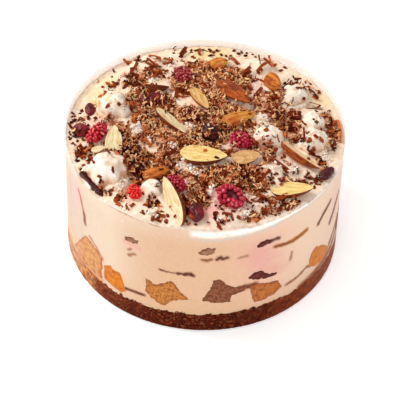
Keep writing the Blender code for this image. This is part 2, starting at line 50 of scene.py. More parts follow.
# Angles round the cake run from the front, -Y, towards +X. Rows of places are in millimetres and degrees.
cake = {
    "footRadius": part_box("collar")[1].x,
    "rimHeight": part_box("collar")[1].z,
    "lean": 2.4 * mm,  # how much narrower the collar is at its rim
    "film": 0.4 * mm,
    "filmWaves": 0.16 * mm,
    "gap": 0.7 * mm,  # from the collar's outside to the plain cake inside it
    "seam": -62,  # the collar's ends lap over each other here
    "seamArc": 12,
    "base": 9.4 * mm,
    "baseRipple": 0.5 * mm,
    "baseRise": (1.1 * mm, 40),  # it is thicker on the side at this angle
    "creamEdge": 59.0 * mm,
    "crown": 1.8 * mm,  # how much higher the middle is than the edge
    "ripple": 0.7 * mm,
    "rippleSize": 8 * mm,
    "crease": 0.5 * mm,
    "creaseSize": 3.4 * mm,
    "lumpy": ((0.35 * mm, 2 * mm), (0.16 * mm, 1 * mm)),  # finer relief: height and size
    # low swells of the cream: x, y, radius, height
    "swells": (
        (-41, -31, 11, 2.5), (-39, 10, 11, 2.5), (-29, 1, 7, 2.5), (-14, -11, 8, 2.5), (27, -9, 9, 2.5),
        (46, -3, 12, 2.0), (28, -29, 8, 2.5), (10, -53, 8, 2.0), (-28, 41, 9, 3.0), (4, 30, 8, 2.5),
        (24, 44, 8, 2.5), (42, 25, 9, 2.5),
    ),
    # heaped dollops: x, y, half sizes across and along, rise, how far out they stay bare
    "dollops": (
        (-39, -29.5, 8.5, 8.0, 7.0, 0.9), (-39.5, 9.5, 6.0, 8.0, 6.0, 0.9), (-21, -38, 5.0, 4.0, 4.0, 0.9),
        (26.5, -8.5, 7.0, 6.5, 5.5, 0.55), (45.5, -8, 6.0, 6.5, 6.0, 0.85), (46.5, 4, 5.5, 6.0, 5.5, 0.85),
        (38.5, 22, 6.5, 6.0, 4.5, 0.7),
    ),
    # small crumbly peaks that the shavings leave bare: x, y, radius
    "lumps": (
        (-29.0, -3.4, 2.1), (-6.5, 0.0, 1.9), (-15.9, 42.5, 2.4), (-24.0, 30.9, 2.4), (-23.2, -9.7, 1.7),
        (-13.8, -14.5, 1.9), (-9.6, -24.2, 2.1), (-5.8, -26.8, 1.9), (-3.3, -29.0, 1.9), (3.1, -39.1, 2.1),
        (50.5, -15.7, 2.6), (31.4, -21.8, 2.4), (27.8, -27.5, 2.4), (37.1, -25.4, 2.9), (16.0, -49.5, 2.9),
        (-30.7, -48.5, 1.9), (-20.1, -51.6, 2.4), (-34.2, -37.6, 2.9), (24.4, 6.8, 2.4),
    ),
    "lumpHeight": 0.5 * mm,
    "lumpCrumbs": 1.5 * mm,
    "sunk": (-53, 12, 52.5, 2.2),  # where it has sunk beside a strip: angle, half arc, radius and depth
    # the dollops' own form, mostly how far their shape is led astray and by swirls of what size
    "dollop": {
        "sink": 0.8 * mm, "turn": 37, "warp": 1.6 * mm, "warpSize": 4.4 * mm, "uneven": 0.13,
        "fold": 0.8 * mm, "rough": 0.9 * mm, "roughSize": 3.6 * mm, "blend": 0.9 * mm,
    },
}


def paint(*screen):
    # a screen colour, 0 to 255, as the linear colour that shaders use
    return [((c / 255 + 0.055) / 1.055) ** 2.4 if c > 10 else c / 255 / 12.92 for c in screen] + [1.0]


class Wire:
    # a node's output, with the sums and products that the shaders below are written in
    def __init__(self, tree, socket=None):
        self.tree = tree
        self.socket = socket

    def node(self, kind, settings=None, values=None, output=0):
        made = self.tree.nodes.new(kind)
        for name, value in (settings or {}).items():
            if name == "stops":
                ramp = made.color_ramp.elements
                while len(ramp) < len(value):
                    ramp.new(0.5)
                for stop, (position, colour) in zip(ramp, value):
                    stop.position = position
                    stop.color = colour
            else:
                setattr(made, name, value)
        for name, value in (values or {}).items():
            if isinstance(value, Wire):
                self.tree.links.new(value.socket, made.inputs[name])
            else:
                made.inputs[name].default_value = value
        return Wire(self.tree, made.outputs[output])

    def sum(self, operation, first, second):
        return self.node("ShaderNodeMath", {"operation": operation}, {0: first, 1: second})

    def __add__(self, other):
        return self.sum("ADD", self, other)

    def __radd__(self, other):
        return self.sum("ADD", other, self)

    def __sub__(self, other):
        return self.sum("SUBTRACT", self, other)

    def __rsub__(self, other):
        return self.sum("SUBTRACT", other, self)

    def __mul__(self, other):
        return self.sum("MULTIPLY", self, other)

    def __rmul__(self, other):
        return self.sum("MULTIPLY", other, self)

    def __pow__(self, other):
        return self.sum("POWER", self, other)

    def rise(self, low, high):
        # 0 below low, 1 above high and smooth between
        limits = {"Value": self, "From Min": low, "From Max": high}
        return self.node("ShaderNodeMapRange", {"interpolation_type": "SMOOTHSTEP"}, limits)

    def place(self):
        return self.node("ShaderNodeTexCoord", output="Object")

    def attribute(self, name, output="Vector"):
        return self.node("ShaderNodeAttribute", {"attribute_name": name}, output=output)

    def stretch(self, vector, scale):
        return self.node("ShaderNodeMapping", {"vector_type": "POINT"}, {"Vector": vector, "Scale": scale})

    def cloud(self, vector, scale, detail=2.0, roughness=0.5):
        values = {"Vector": vector, "Scale": scale, "Detail": detail, "Roughness": roughness}
        return self.node("ShaderNodeTexNoise", None, values)

    def cells(self, vector, scale, output="Distance"):
        return self.node("ShaderNodeTexVoronoi", None, {"Vector": vector, "Scale": scale}, output)

    def mix(self, first, second, share, kind="MIX"):
        settings = {"data_type": "RGBA", "blend_type": kind}
        return self.node("ShaderNodeMix", settings, {0: share, 6: first, 7: second}, 2)

    def bump(self, height, distance, strength=1.0):
        values = {"Height": height, "Distance": distance, "Strength": strength}
        return self.node("ShaderNodeBump", None, values)


finishes = {}


def makeMaterial(name, shade, **constants):
    # shade gives what varies over the surface, constants what doesn't, and each finish is made once
    if name in finishes:
        return finishes[name]
    made = finishes[name] = bpy.data.materials.new(name)
    made.use_nodes = True
    tree = made.node_tree
    shader = tree.nodes["Principled BSDF"]
    for socket, value in constants.items():
        shader.inputs[socket.replace("_", " ")].default_value = value
    for socket, value in shade(Wire(tree)).items():
        tree.links.new(value.socket, shader.inputs[socket])
    return made


def cloudy(first, second, scale):
    # a plain finish that drifts between two colours
    def shade(pen):
        return {"Base Color": pen.mix(paint(*first), paint(*second), pen.cloud(pen.place(), scale))}

    return shade


def leave():
    if bpy.context.object and bpy.context.object.mode == "EDIT":
        bpy.ops.object.mode_set(mode="OBJECT")


def select(piece):
    leave()
    bpy.ops.object.select_all(action="DESELECT")
    piece.select_set(True)
    bpy.context.view_layer.objects.active = piece


def settle(piece):
    # leaves the object at the origin, with its place in its mesh
    select(piece)
    bpy.ops.object.transform_apply(location=True, rotation=True, scale=True)


def add(primitive, stretch=(1, 1, 1), **settings):
    primitive(**settings)
    piece = bpy.context.object
    piece.scale = stretch
    settle(piece)
    return piece


def addDrum(sides, radius, low, high, ends="NGON"):
    return add(
        bpy.ops.mesh.primitive_cylinder_add, vertices=sides, radius=radius, depth=high - low,
        location=(0, 0, (low + high) / 2), end_fill_type=ends,
    )


def edit(piece, kind, test):
    # goes into edit mode with the faces or edges that pass the test selected
    select(piece)
    bpy.ops.object.mode_set(mode="EDIT")
    bpy.ops.mesh.select_mode(type=kind)
    bpy.ops.mesh.select_all(action="DESELECT")
    bpy.ops.object.mode_set(mode="OBJECT")
    points = [v.co for v in piece.data.vertices]
    for part in piece.data.polygons if kind == "FACE" else piece.data.edges:
        part.select = test([points[i] for i in part.vertices])
    bpy.ops.object.mode_set(mode="EDIT")


def cut(piece, axis, parts):
    # cuts every edge that runs along the axis
    edit(piece, "EDGE", lambda points: abs(points[0][axis] - points[1][axis]) > mm)
    bpy.ops.mesh.subdivide(number_cuts=parts - 1)


def applyModifier(piece, kind, **settings):
    select(piece)
    bpy.ops.object.modifier_add(type=kind)
    modifier = piece.modifiers[-1]
    for name, value in settings.items():
        setattr(modifier, name, value)
    bpy.ops.object.modifier_apply(modifier=modifier.name)


def corners(piece):
    points = np.empty(len(piece.data.vertices) * 3, np.float32)
    piece.data.vertices.foreach_get("co", points)
    return points.reshape(-1, 3).astype(float)


def setCorners(piece, points):
    piece.data.vertices.foreach_set("co", np.asarray(points, np.float32).ravel())
    piece.data.update()


def shapeIn(piece):
    return corners(piece), [list(face.vertices) for face in piece.data.polygons]


def shapeOf(piece):
    # the corners and faces of a shape to copy, without its object
    shape = shapeIn(piece)
    bpy.data.objects.remove(piece)
    return shape


def gathered(shapes):
    points, faces, count = [], [], 0
    for corner, sides in shapes:
        points.append(corner)
        faces += [[i + count for i in side] for side in sides]
        count += len(corner)
    return np.concatenate(points), faces


def joined(name, shapes):
    points, faces = gathered(shapes)
    mesh = bpy.data.meshes.new(name)
    mesh.from_pydata(points, [], faces)
    piece = bpy.data.objects.new(name, mesh)
    bpy.context.scene.collection.objects.link(piece)
    return piece


def note(piece, name, values):
    # keeps one value for each corner: a number, a place or a colour
    values = np.asarray(values, np.float32)
    kinds = {1: ("FLOAT", "value"), 3: ("FLOAT_VECTOR", "vector"), 4: ("FLOAT_COLOR", "color")}
    kind, key = kinds[1 if values.ndim == 1 else values.shape[1]]
    piece.data.attributes.new(name, kind, "POINT").data.foreach_set(key, values.ravel())


def finish(piece, name, materials, nodes=(), sharp=40):
    # names the piece, gives it its finish and puts it in the frame
    piece.name = name
    piece.data.name = name
    piece.data.materials.clear()
    for material in materials:
        piece.data.materials.append(material)
    piece.data.shade_smooth()
    if sharp:
        piece.data.set_sharp_from_angle(angle=math.radians(sharp))
    settle(piece)
    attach(piece, "root")
    if nodes:
        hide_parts(*nodes)
    return piece


def rest(piece, x, y, lift, heading, roll=0, pitch=0):
    # lays a nut or a berry on the cream
    piece.location = (x * mm, y * mm, plainTop(x * mm, y * mm) + lift * mm)
    piece.rotation_euler = [math.radians(turn) for turn in (roll, pitch, heading)]


def toEdge(points, outline, closed=True):
    # distance of each flat point from the nearest side of the outline
    nearest = np.full(len(points), 1e3)
    for a, b in zip(outline, outline[1:] + (outline[:1] if closed else [])):
        a, b = np.array(a), np.array(b)
        share = np.clip((points - a) @ (b - a) / ((b - a) @ (b - a)), 0, 1)
        nearest = np.minimum(nearest, np.linalg.norm(points - a - share[:, None] * (b - a), axis=1))
    return nearest


def swirl(x, y, z=0.0):
    # smooth noise, between -1 and 1
    return noise.noise(Vector((x, y, z)))


def drift(place):
    # smooth noise along each axis
    return Vector(noise.noise(place + Vector((31.0 * i, 0, 17.0 * i))) for i in range(3))


def wave(angle, seed, pitch):
    # smooth noise round the cake
    return swirl(pitch * math.cos(angle), pitch * math.sin(angle), seed)


def between(value, low=0.0, high=1.0):
    return min(high, max(low, value))


def wallRadius(z):
    return cake["footRadius"] - cake["lean"] * z / cake["rimHeight"]


def innerWall(angle, z):
    # the collar's inner face, with the slight waves of a bent film
    return wallRadius(z) - cake["film"] + cake["filmWaves"] * wave(angle, 20 + z / (25 * mm), 1.6)


def onSide(angle, radius, z):
    return Vector((radius * math.sin(angle), -radius * math.cos(angle), z))


def baseTop(angle, share=1.0):
    rise, middle = cake["baseRise"]
    ripple = cake["baseRipple"] * (wave(angle, 3.1, 2.0) + 0.8 * wave(angle, 7.7, 9.0))
    return cake["base"] + share * (ripple + rise * math.cos(angle - math.radians(middle)))


def plainTop(x, y):
    # the cream between its dollops, as the toppings stand on it
    share = math.hypot(x, y) / (wallRadius(cake["creamEdge"]) - cake["gap"])
    height = cake["creamEdge"] + cake["crown"] * (1 - min(share, 1) ** 4)
    height += cake["ripple"] * swirl(x / cake["rippleSize"], y / cake["rippleSize"])
    for middleX, middleY, radius, rise in cake["swells"]:
        away = math.hypot(x - middleX * mm, y - middleY * mm) / (radius * mm)
        if away < 1:
            height += rise * mm * (1 - away**2) ** 1.3
    return height


def creamTop(x, y):
    # the cream with its creases, crumbly peaks and dollops
    place = Vector((x, y, 0))
    height = plainTop(x, y) + cake["crease"] * (0.5 - abs(noise.noise(place / cake["creaseSize"])))
    height += sum(rise * noise.noise(place / size) for rise, size in cake["lumpy"])
    for middleX, middleY, radius in cake["lumps"]:
        away = math.hypot(x - middleX * mm, y - middleY * mm) / (radius * mm)
        if away < 1.3:
            crumbly = abs(noise.noise(place / (1.3 * mm))) + 0.5 * abs(noise.noise(place / (0.7 * mm)))
            height += math.exp(-2 * away**2) * (cake["lumpHeight"] + cake["lumpCrumbs"] * crumbly)
    form = cake["dollop"]
    for index, (middleX, middleY, across, along, rise, _) in enumerate(cake["dollops"]):
        local = Vector((x - middleX * mm, y - middleY * mm))
        local += form["warp"] * drift(place / form["warpSize"] + Vector((index, 0, 0))).xy
        local.rotate(Matrix.Rotation(-math.radians(form["turn"] * index), 2))
        turn = math.atan2(local.y, local.x)
        uneven = 1 + form["uneven"] * wave(turn, 3.3 * index, 1.4)
        away = math.hypot(local.x / (across * mm), local.y / (along * mm)) / uneven
        if away > 1.25:
            continue
        dome = plainTop(middleX * mm, middleY * mm) - form["sink"]
        dome += rise * mm * max(0.0, 1 - away**2.3) ** 0.55
        fold = swirl(turn * 0.9, away * 2.4 + turn * 0.5, index * 4.0)
        dome += form["fold"] * (1 - abs(fold) * 3) * max(0.0, 1 - away)
        rough = noise.noise(place / form["roughSize"] + Vector((0, 0, index)))
        dome += form["rough"] * rough * min(1, 1.6 * max(0.0, 1.1 - away))
        lower, height = sorted((height, dome))
        height += 0.4 * form["blend"] * math.exp((lower - height) / form["blend"])
    middle, halfArc, start, depth = cake["sunk"]
    turn = abs(math.degrees(math.atan2(x, -y)) - middle)
    if turn < halfArc:
        out = between((math.hypot(x, y) / mm - start) / 3)
        height -= depth * mm * out * math.cos(turn / halfArc * math.pi / 2)
    return height


# the filling: one drum, whose top is shaped by creamTop
cream = {
    "sides": 640,
    "rows": 84,
    "rings": 104,
    "top": (248, 222, 194),
    # painted highlight on the cream's peaks, then painted shade in its hollows
    "peakHighlight": (255, 246, 234),
    "hollow": (212, 156, 118),
    "smoothing": 14,  # rounds that find how deep the hollows are
    "crumbs": (188, 108, 60),  # between the shavings: chocolate crumbs, and painted shade in the gaps between shavings
    "speck": (110, 50, 28),
    # its colour round the side: angle, then the colour
    "side": (
        (-180, (216, 190, 166)), (-100, (200, 172, 146)), (-68, (198, 170, 146)), (-50, (215, 193, 170)),
        (-38, (224, 200, 174)), (-25, (220, 184, 152)), (-15, (218, 177, 142)), (8, (221, 178, 144)),
        (30, (232, 190, 163)), (42, (236, 202, 175)), (55, (238, 205, 178)), (100, (236, 198, 172)),
        (180, (216, 190, 166)),
    ),
    "high": (236, 216, 198),  # towards its top edge and its foot
    "highShare": 0.35,
    "low": (212, 168, 132),
    "lowShare": 0.5,
    # colour that has soaked into the side: angle, height, half width and height, colour, strength
    "sideStains": (
        (23, 41, 9.5, 11, (226, 158, 152), 0.75),
        (30, 30, 7, 5, (222, 150, 140), 0.45),
        (-28, 42.5, 4, 3, (232, 178, 165), 0.6),
        (-62, 46, 4.5, 8, (226, 168, 164), 0.8),
        (68, 40, 5, 14, (236, 184, 176), 0.5),
        (150, 38, 9, 9, (232, 172, 160), 0.6),
        (215, 40, 10, 8, (230, 170, 160), 0.5),
    ),
    # marks on it: half width, colour, strength, then the angles and heights they run through
    "sideMarks": (
        (2, (255, 252, 246), 1.0, (-3, 57.6), (4, 56.9), (12, 57.2), (22, 57.8), (30, 58.8)),
        (1.2, (255, 252, 248), 1.0, (28, 58.4), (38, 58.9), (50, 59.2), (64, 59.4)),
        # these two are painted shade under the white lip
        (0.7, (206, 196, 186), 0.8, (-4, 54.6), (5, 54.0), (13, 54.5), (24, 55.6), (32, 56.8)),
        (0.6, (214, 196, 182), 0.7, (34, 57.2), (46, 57.7), (60, 58.0)),
        (0.87, (145, 79, 51), 0.75, (17, 60.8), (28, 60.9), (40, 61.1)),
        (0.87, (162, 96, 71), 0.75, (-40, 59.4), (-31, 59.3), (-16, 60.4)),
        (0.87, (153, 89, 65), 0.8, (-36, 60.2), (-33, 59.8)),
        (0.87, (131, 72, 51), 0.8, (-21, 59.6), (-17, 59.2)),
        (0.48, (89, 37, 20), 0.9, (-16, 34.4), (-13.5, 33.9), (-10.5, 33.9)),
        (0.67, (71, 27, 14), 1.0, (-9, 34.0), (-7.2, 34.3), (-6.4, 33.6)),
        (0.91, (71, 27, 14), 1.0, (-5.7, 34.2), (-4.0, 34.4), (-3.0, 33.8)),
        (0.77, (93, 37, 15), 1.0, (-31, 15.3), (-28, 15.8), (-22.5, 16)),
        (0.67, (135, 82, 57), 0.75, (-29.5, 36.2), (-27.8, 37.6), (-26.6, 38.2)),
        (0.58, (135, 82, 57), 0.75, (-29.6, 39.4), (-28.4, 40.6)),
        (1.2, (222, 166, 148), 0.85, (-31, 43.6), (-27, 43.0), (-24.3, 42.0)),
        (0.77, (162, 72, 65), 0.9, (-59.5, 51), (-57.5, 47.5), (-55, 40.5)),
        (0.96, (112, 49, 46), 0.95, (-55, 41), (-54.4, 35.8)),
        (0.9, (226, 178, 172), 0.8, (-66, 52), (-63, 46), (-60.5, 41)),
        (0.77, (128, 68, 39), 0.9, (0.4, 43.2), (2.2, 42.6), (3.6, 43.3)),
        (0.77, (81, 36, 17), 1.0, (6, 43.1), (7.3, 44.4), (8.3, 43.2), (9.9, 44.1)),
        (0.67, (162, 111, 81), 0.85, (14.5, 42.7), (18, 43.3)),
        (0.77, (71, 32, 21), 1.0, (27, 47.6), (30, 48.3), (31.2, 47.9)),
        (0.87, (128, 61, 21), 1.0, (29.6, 43.9), (33.5, 43.0), (36.5, 42.5)),
        (1.11, (145, 72, 14), 1.0, (36.5, 42.5), (40, 42.7), (45.5, 43.6)),
        (0.67, (145, 92, 67), 0.8, (37.5, 31.6), (38, 36)),
        (0.77, (128, 70, 42), 0.9, (36.3, 17.3), (41.5, 17.8), (45.2, 19.1), (47.1, 20.1), (51.6, 17.9)),
        (1.06, (93, 41, 26), 1.0, (53, 41.3), (56.5, 44.4), (62, 47)),
        (1.46, (97, 37, 35), 1.0, (64, 33), (68, 37.4), (73, 42)),
        (1.4, (112, 58, 38), 0.95, (66, 18), (71, 21), (76, 25)),
        (1.46, (108, 51, 26), 1.0, (16, 24.6), (21.8, 24.9)),
        (0.77, (180, 103, 65), 0.8, (-51, 31), (-47, 28.8), (-42.8, 24.2)),
        (1.9, (138, 70, 38), 1.0, (44, 10.2), (52, 11.2), (60, 12.0), (68, 13.6), (78, 17.5)),
        (4.6, (216, 172, 132), 0.75, (-78, 15), (-72, 17), (-66, 18.5)),
        (2.4, (208, 160, 116), 0.8, (-80, 12), (-62, 12), (-44, 11.2)),
        (1.06, (155, 79, 45), 0.7, (-76, 9.4), (-60, 9.6), (-45, 9.3)),
    ),
    # and into the top, where two tan spots at the first dollop's lower right are painted shade instead: x,
    # y, radius, colour, strength
    "topStainsAndShade": (
        (-46.3, 12.5, 5.0, (240, 182, 88), 0.9),
        (-48.2, 21, 5.5, (244, 214, 150), 0.7),
        (-44, 30, 6, (246, 222, 160), 0.7),
        (-2, 53, 9, (246, 216, 140), 0.75),
        (7, 55, 5, (244, 210, 130), 0.6),
        (52, 22, 6, (246, 218, 150), 0.6),
        (1, -50, 5.5, (214, 120, 112), 0.7),
        (9.5, -44, 9, (240, 150, 165), 0.75),
        (-10, 34, 8, (236, 160, 150), 0.6),
        (15, -10, 8, (232, 150, 150), 0.55),
        (-46, -4, 8, (240, 160, 160), 0.5),
        (-9, -31, 7, (228, 150, 140), 0.5),
        (20, 30, 6, (225, 165, 170), 0.5),
        (27, -7, 8, (255, 244, 226), 0.5),
        (28, -20, 8, (244, 205, 190), 0.6),
        # these two are painted shade on the first dollop's lower right
        (-33.5, -33.5, 4.5, (206, 164, 128), 0.8),
        (-30, -37, 4, (222, 184, 146), 0.7),
        (38, -2, 5, (232, 196, 166), 0.6),
    ),
}


def roundCake(tints, turns):
    # the colour at one or more angles, between the named ones
    angles, tints = zip(*tints)
    tints = np.array([paint(*tint) for tint in tints])
    return np.stack([np.interp(turns, angles, tints[:, i]) for i in range(4)], axis=-1)


def tinted(colour, tint, share):
    return colour + (np.array(paint(*tint)) - colour) * share


def creamColour(point, onTop):
    x, y, z = point / mm
    angle = math.atan2(x, -y)
    if onTop:
        colour, spots = np.array(paint(*cream["top"])), cream["topStainsAndShade"]
        rough = 1 + 0.5 * noise.noise(Vector(point) / (2.5 * mm))
    else:
        colour, spots = roundCake(cream["side"], math.degrees(angle)), cream["sideStains"]
        colour = tinted(colour, cream["low"], cream["lowShare"] * between((24 - z) / 12))
        colour = tinted(colour, cream["high"], cream["highShare"] * between((z - 50) / 8))
        rough = 1 + 0.45 * noise.noise(Vector(point) / (4 * mm))
    for *spot, tint, strength in spots:
        if onTop:
            away = math.hypot(x - spot[0], y - spot[1]) / spot[2]
        else:
            turn = (angle - math.radians(spot[0]) + math.pi) % (2 * math.pi) - math.pi
            away = math.hypot(turn * wallRadius(0) / (spot[2] * mm), (z - spot[1]) / spot[3])
        colour = tinted(colour, tint, strength * math.exp(-1.3 * (away * rough) ** 2))
    return colour


def drawMarks(colours, points, isSide):
    # draws the side's marks into its colours
    turns = np.arctan2(points[:, 0], -points[:, 1])
    flat = np.column_stack((turns * cake["footRadius"], points[:, 2])) / mm
    rough = np.array([drift(Vector(point) / (1.4 * mm)) for point in points])
    flat += 0.4 * rough[:, :2]
    for halfWidth, tint, strength, *path in cream["sideMarks"]:
        path = [Vector((math.radians(angle) * cake["footRadius"] / mm, z)) for angle, z in path]
        share = strength * np.exp(-((toEdge(flat, path, False) / halfWidth) ** 3)) * isSide
        share *= np.clip(1.15 + 0.9 * rough[:, 2], 0, 1)
        colours *= (np.maximum(paint(*tint), 0.002) / colours) ** share[:, None]


def hollows(piece, points):
    # how far each corner lies below those round it, in mm
    ends = np.array([edge.vertices for edge in piece.data.edges])
    ends = np.concatenate((ends, ends[:, ::-1]))
    counts = np.bincount(ends[:, 0], minlength=len(points))
    level = points[:, 2].copy()
    for _ in range(cream["smoothing"]):
        level = 0.5 * level + 0.5 * np.bincount(ends[:, 0], level[ends[:, 1]], len(points)) / counts
    return (level - points[:, 2]) / mm


def makeCream():
    low, high, overlap = cake["base"], cake["creamEdge"], 0.03 * mm
    radius = innerWall(0, high)
    piece = addDrum(cream["sides"], radius, low, high)
    edit(piece, "FACE", lambda points: all(p.z > high - mm for p in points))
    bpy.ops.mesh.inset(thickness=radius - 0.5 * mm)
    bpy.ops.mesh.poke()
    edit(piece, "FACE", lambda points: all(p.z < low + mm for p in points))
    bpy.ops.mesh.inset(thickness=0.15 * radius)
    bpy.ops.mesh.poke()
    cut(piece, 2, cream["rows"])

    def radial(points):
        lengths = sorted(math.hypot(p.x, p.y) for p in points)
        return points[0].z > high - 0.01 * mm and lengths[0] > 0.1 * mm and lengths[1] - lengths[0] > 5 * mm

    edit(piece, "EDGE", radial)
    bpy.ops.mesh.subdivide(number_cuts=cream["rings"] - 1)
    leave()
    points = corners(piece)
    colours = np.ones((len(points), 4))
    tops = points[:, 2] > high - 0.01 * mm
    for index, (x, y, z) in enumerate(points):
        angle = math.atan2(x, -y)
        out = math.hypot(x, y) / radius
        if tops[index]:
            x, y = onSide(angle, (innerWall(angle, high) + overlap) * out, 0).xy
            z = creamTop(x, y)
            if out > 0.999:
                x, y = onSide(angle, innerWall(angle, z) + overlap, 0).xy
        elif out < 0.95:
            z = baseTop(angle, 0.5) * 0.98
        else:
            foot = baseTop(angle) - 0.4 * mm
            rim = onSide(angle, innerWall(angle, high), 0)
            z = foot + (creamTop(rim.x, rim.y) - foot) * (z - low) / (high - low)
            x, y = onSide(angle, innerWall(angle, z) + overlap, 0).xy
        points[index] = x, y, z
        colours[index] = creamColour(points[index], tops[index] and out < 0.99)
    setCorners(piece, points)
    drawMarks(colours, points, ~tops)
    note(piece, "tint", colours)
    # the hollows' depth, from which the cream's painted shade and painted highlight are mixed
    note(piece, "hollow", np.where(tops, hollows(piece, points), 0))
    return piece


def creamShade(pen):
    place = pen.place()
    fine = pen.cloud(place, 700, 2)
    hollow = pen.attribute("hollow", "Fac")
    crumbs = pen.attribute("crumbs", "Fac")
    # chocolate crumbs and painted shade under the shavings, where they lie thickly
    under = (crumbs + 0.5 * pen.cloud(place, 260, 3)).rise(0.5, 1.15)
    specks = crumbs.rise(0.05, 0.6) * pen.cloud(place, 1250, 2).rise(0.53, 0.6)
    colour = pen.attribute("tint", "Color")
    # painted shade in the hollows, painted highlight on the peaks
    colour = pen.mix(colour, paint(*cream["hollow"]), (hollow + 0.3 * fine).rise(0.2, 1.0) * 0.8)
    colour = pen.mix(colour, paint(*cream["peakHighlight"]), (0.3 * fine - hollow).rise(0.1, 0.7) * 0.8)
    colour = pen.mix(colour, paint(*cream["crumbs"]), under * 0.85)
    colour = pen.mix(colour, paint(*cream["speck"]), specks)
    relief = pen.cloud(place, 420, 3, 0.6) + 0.4 * fine
    return {
        "Base Color": colour,
        "Roughness": 0.45 + 0.2 * fine,
        "Normal": pen.bump(relief + crumbs.rise(0, 1) * pen.cloud(place, 1100, 2), 0.0003, 0.6),
    }


creamMaterial = makeMaterial(
    "whipped cream", creamShade, Subsurface_Weight=0.12, Subsurface_Radius=(1.0, 0.65, 0.4),
    Subsurface_Scale=0.002, Specular_IOR_Level=0.06,
)
creamPiece = finish(makeCream(), "cream_filling", [creamMaterial], ["cream"], 0)
print("cream made")


# the pressed crumbs under it, with a ragged top edge
crumbBase = {
    "sides": 720,
    "rows": 20,
    "ragged": ((1.4 * mm, 2.2, 22), (1.0 * mm, 5.2, 70), (0.8 * mm, 9.2, 170)),  # height, seed, pitch
    "crag": 0.2 * mm,
    "cragSizes": (1.1 * mm, 0.5 * mm),
    "pressed": 0.12 * mm,  # how far it is pressed into the film
    "footInset": 0.3 * mm,
    "shoulder": (0.9 * mm, 0.45 * mm),  # how far the top stands back and lies lower inside its ragged edge
    "crumb": 620,  # how many to a metre
    # its colour round the cake: angle, then the colour
    "tints": (
        (-180, (110, 48, 20)), (-100, (128, 64, 30)), (-80, (206, 142, 86)), (-70, (218, 152, 92)),
        (-50, (206, 134, 78)), (-46.5, (142, 62, 26)), (-40, (118, 46, 16)), (-30, (102, 34, 8)),
        (0, (84, 22, 3)), (22, (90, 26, 4)), (42, (134, 54, 18)), (80, (156, 70, 28)), (180, (110, 48, 20)),
    ),
    "shade": (170, 130, 112),
    "light": (240, 150, 92),
    # painted shade in the gaps between the crumbs
    "gap": (130, 80, 64),
}


def makeBase():
    radius, height = innerWall(0, 0), cake["base"]
    coarse, fine = crumbBase["cragSizes"]
    inset, lower = crumbBase["shoulder"]
    piece = addDrum(crumbBase["sides"], radius, 0, height)
    edit(piece, "FACE", lambda points: all(p.z > height - mm for p in points))
    bpy.ops.mesh.inset(thickness=0.5 * mm)
    bpy.ops.mesh.inset(thickness=0.15 * radius)
    bpy.ops.mesh.poke()
    cut(piece, 2, crumbBase["rows"])
    leave()
    points = corners(piece)
    for index, (x, y, z) in enumerate(points):
        angle = math.atan2(x, -y)
        out = math.hypot(x, y) / radius
        share = z / height
        place = Vector((x, y, z))
        crag = noise.noise(place / coarse) + 0.6 * noise.noise(place / fine)
        if out > 0.97:
            ragged = sum(rise * wave(angle, seed, pitch) for rise, seed, pitch in crumbBase["ragged"])
            sink = 0.0 if out > 0.998 else lower
            z = share * (baseTop(angle) + ragged) - (sink if share > 0.99 else 0)
            pressed = innerWall(angle, z) + crumbBase["pressed"] - crumbBase["crag"] * max(0.0, crag)
            if out < 0.998:
                pressed -= inset
            elif share < 0.01:
                pressed -= crumbBase["footInset"]
            x, y = onSide(angle, pressed, 0).xy
        elif share > 0.5:
            z = baseTop(angle, 0.5) - 0.3 * mm
        points[index] = x, y, max(0.0, z)
    setCorners(piece, points)
    note(piece, "tint", roundCake(crumbBase["tints"], np.degrees(np.arctan2(points[:, 0], -points[:, 1]))))
    return piece


def crumbShade(pen):
    place = pen.place()
    crumb = pen.cells(place, crumbBase["crumb"], "Color")
    size = pen.cells(place, crumbBase["crumb"])
    tone = pen.node("ShaderNodeSeparateColor", None, {"Color": crumb})
    speck = pen.cloud(place, 900, 3)
    colour = pen.attribute("tint", "Color")
    colour = pen.mix(colour, paint(*crumbBase["shade"]), tone.rise(0.3, 0.9) * 0.6, "MULTIPLY")
    colour = pen.mix(colour, paint(*crumbBase["light"]), speck.rise(0.55, 0.68) * 0.24)
    # darker in the gaps between crumbs: painted shade
    colour = pen.mix(colour, paint(*crumbBase["gap"]), size.rise(0.45, 0.75) * 0.5, "MULTIPLY")
    return {"Base Color": colour, "Normal": pen.bump((1 - size) + 0.5 * speck, 0.0005, 0.9)}


crumbMaterial = makeMaterial("pressed crumbs", crumbShade, Roughness=0.9, Specular_IOR_Level=0.05)
finish(makeBase(), "pressed_base", [crumbMaterial], ["crumb_base"], 0)
print("base made")


# the collar, bent from one clear film whose ends lap at the left front
film = {
    "sides": 720,
    "rows": 32,
    "rimWaves": 0.25 * mm,
    "haze": 0.002,
    "edgeHaze": 0.16,
    "smear": 0.55,  # how much of the film above the cream the smear hides at the back
    "smearFrom": (55, 50),  # the angle that it starts at and the arc that it grows over
    "colour": (255, 240, 226),
}


def makeFilm():
    height = cake["rimHeight"]
    piece = addDrum(film["sides"], wallRadius(0), 0, height, "NOTHING")
    cut(piece, 2, film["rows"])
    leave()
    points = corners(piece)
    for index, (x, y, z) in enumerate(points):
        angle = math.atan2(x, -y)
        lapped = abs(math.degrees(angle) - cake["seam"]) < cake["seamArc"] / 2
        radius = innerWall(angle, z) + cake["film"] * (2 if lapped else 1)
        share = z / height
        z += share**4 * film["rimWaves"] * (wave(angle, 9.1, 1.5) - 1)
        points[index] = onSide(angle, radius, z)
    setCorners(piece, points)
    applyModifier(piece, "SOLIDIFY", thickness=cake["film"], offset=-1)
    points = corners(piece)
    points[:, 2] = np.clip(points[:, 2], 0, height)
    setCorners(piece, points)
    smears = []
    for x, y, z in points:
        angle = math.atan2(x, -y)
        above = (z - cake["creamEdge"]) / (height - cake["creamEdge"])
        start, arc = film["smearFrom"]
        toBack = between((abs(math.degrees(angle)) - start) / arc)
        smears.append(film["smear"] * toBack * (1 - 0.4 * above) if above > -0.1 else 0)
    note(piece, "smear", smears)
    return piece


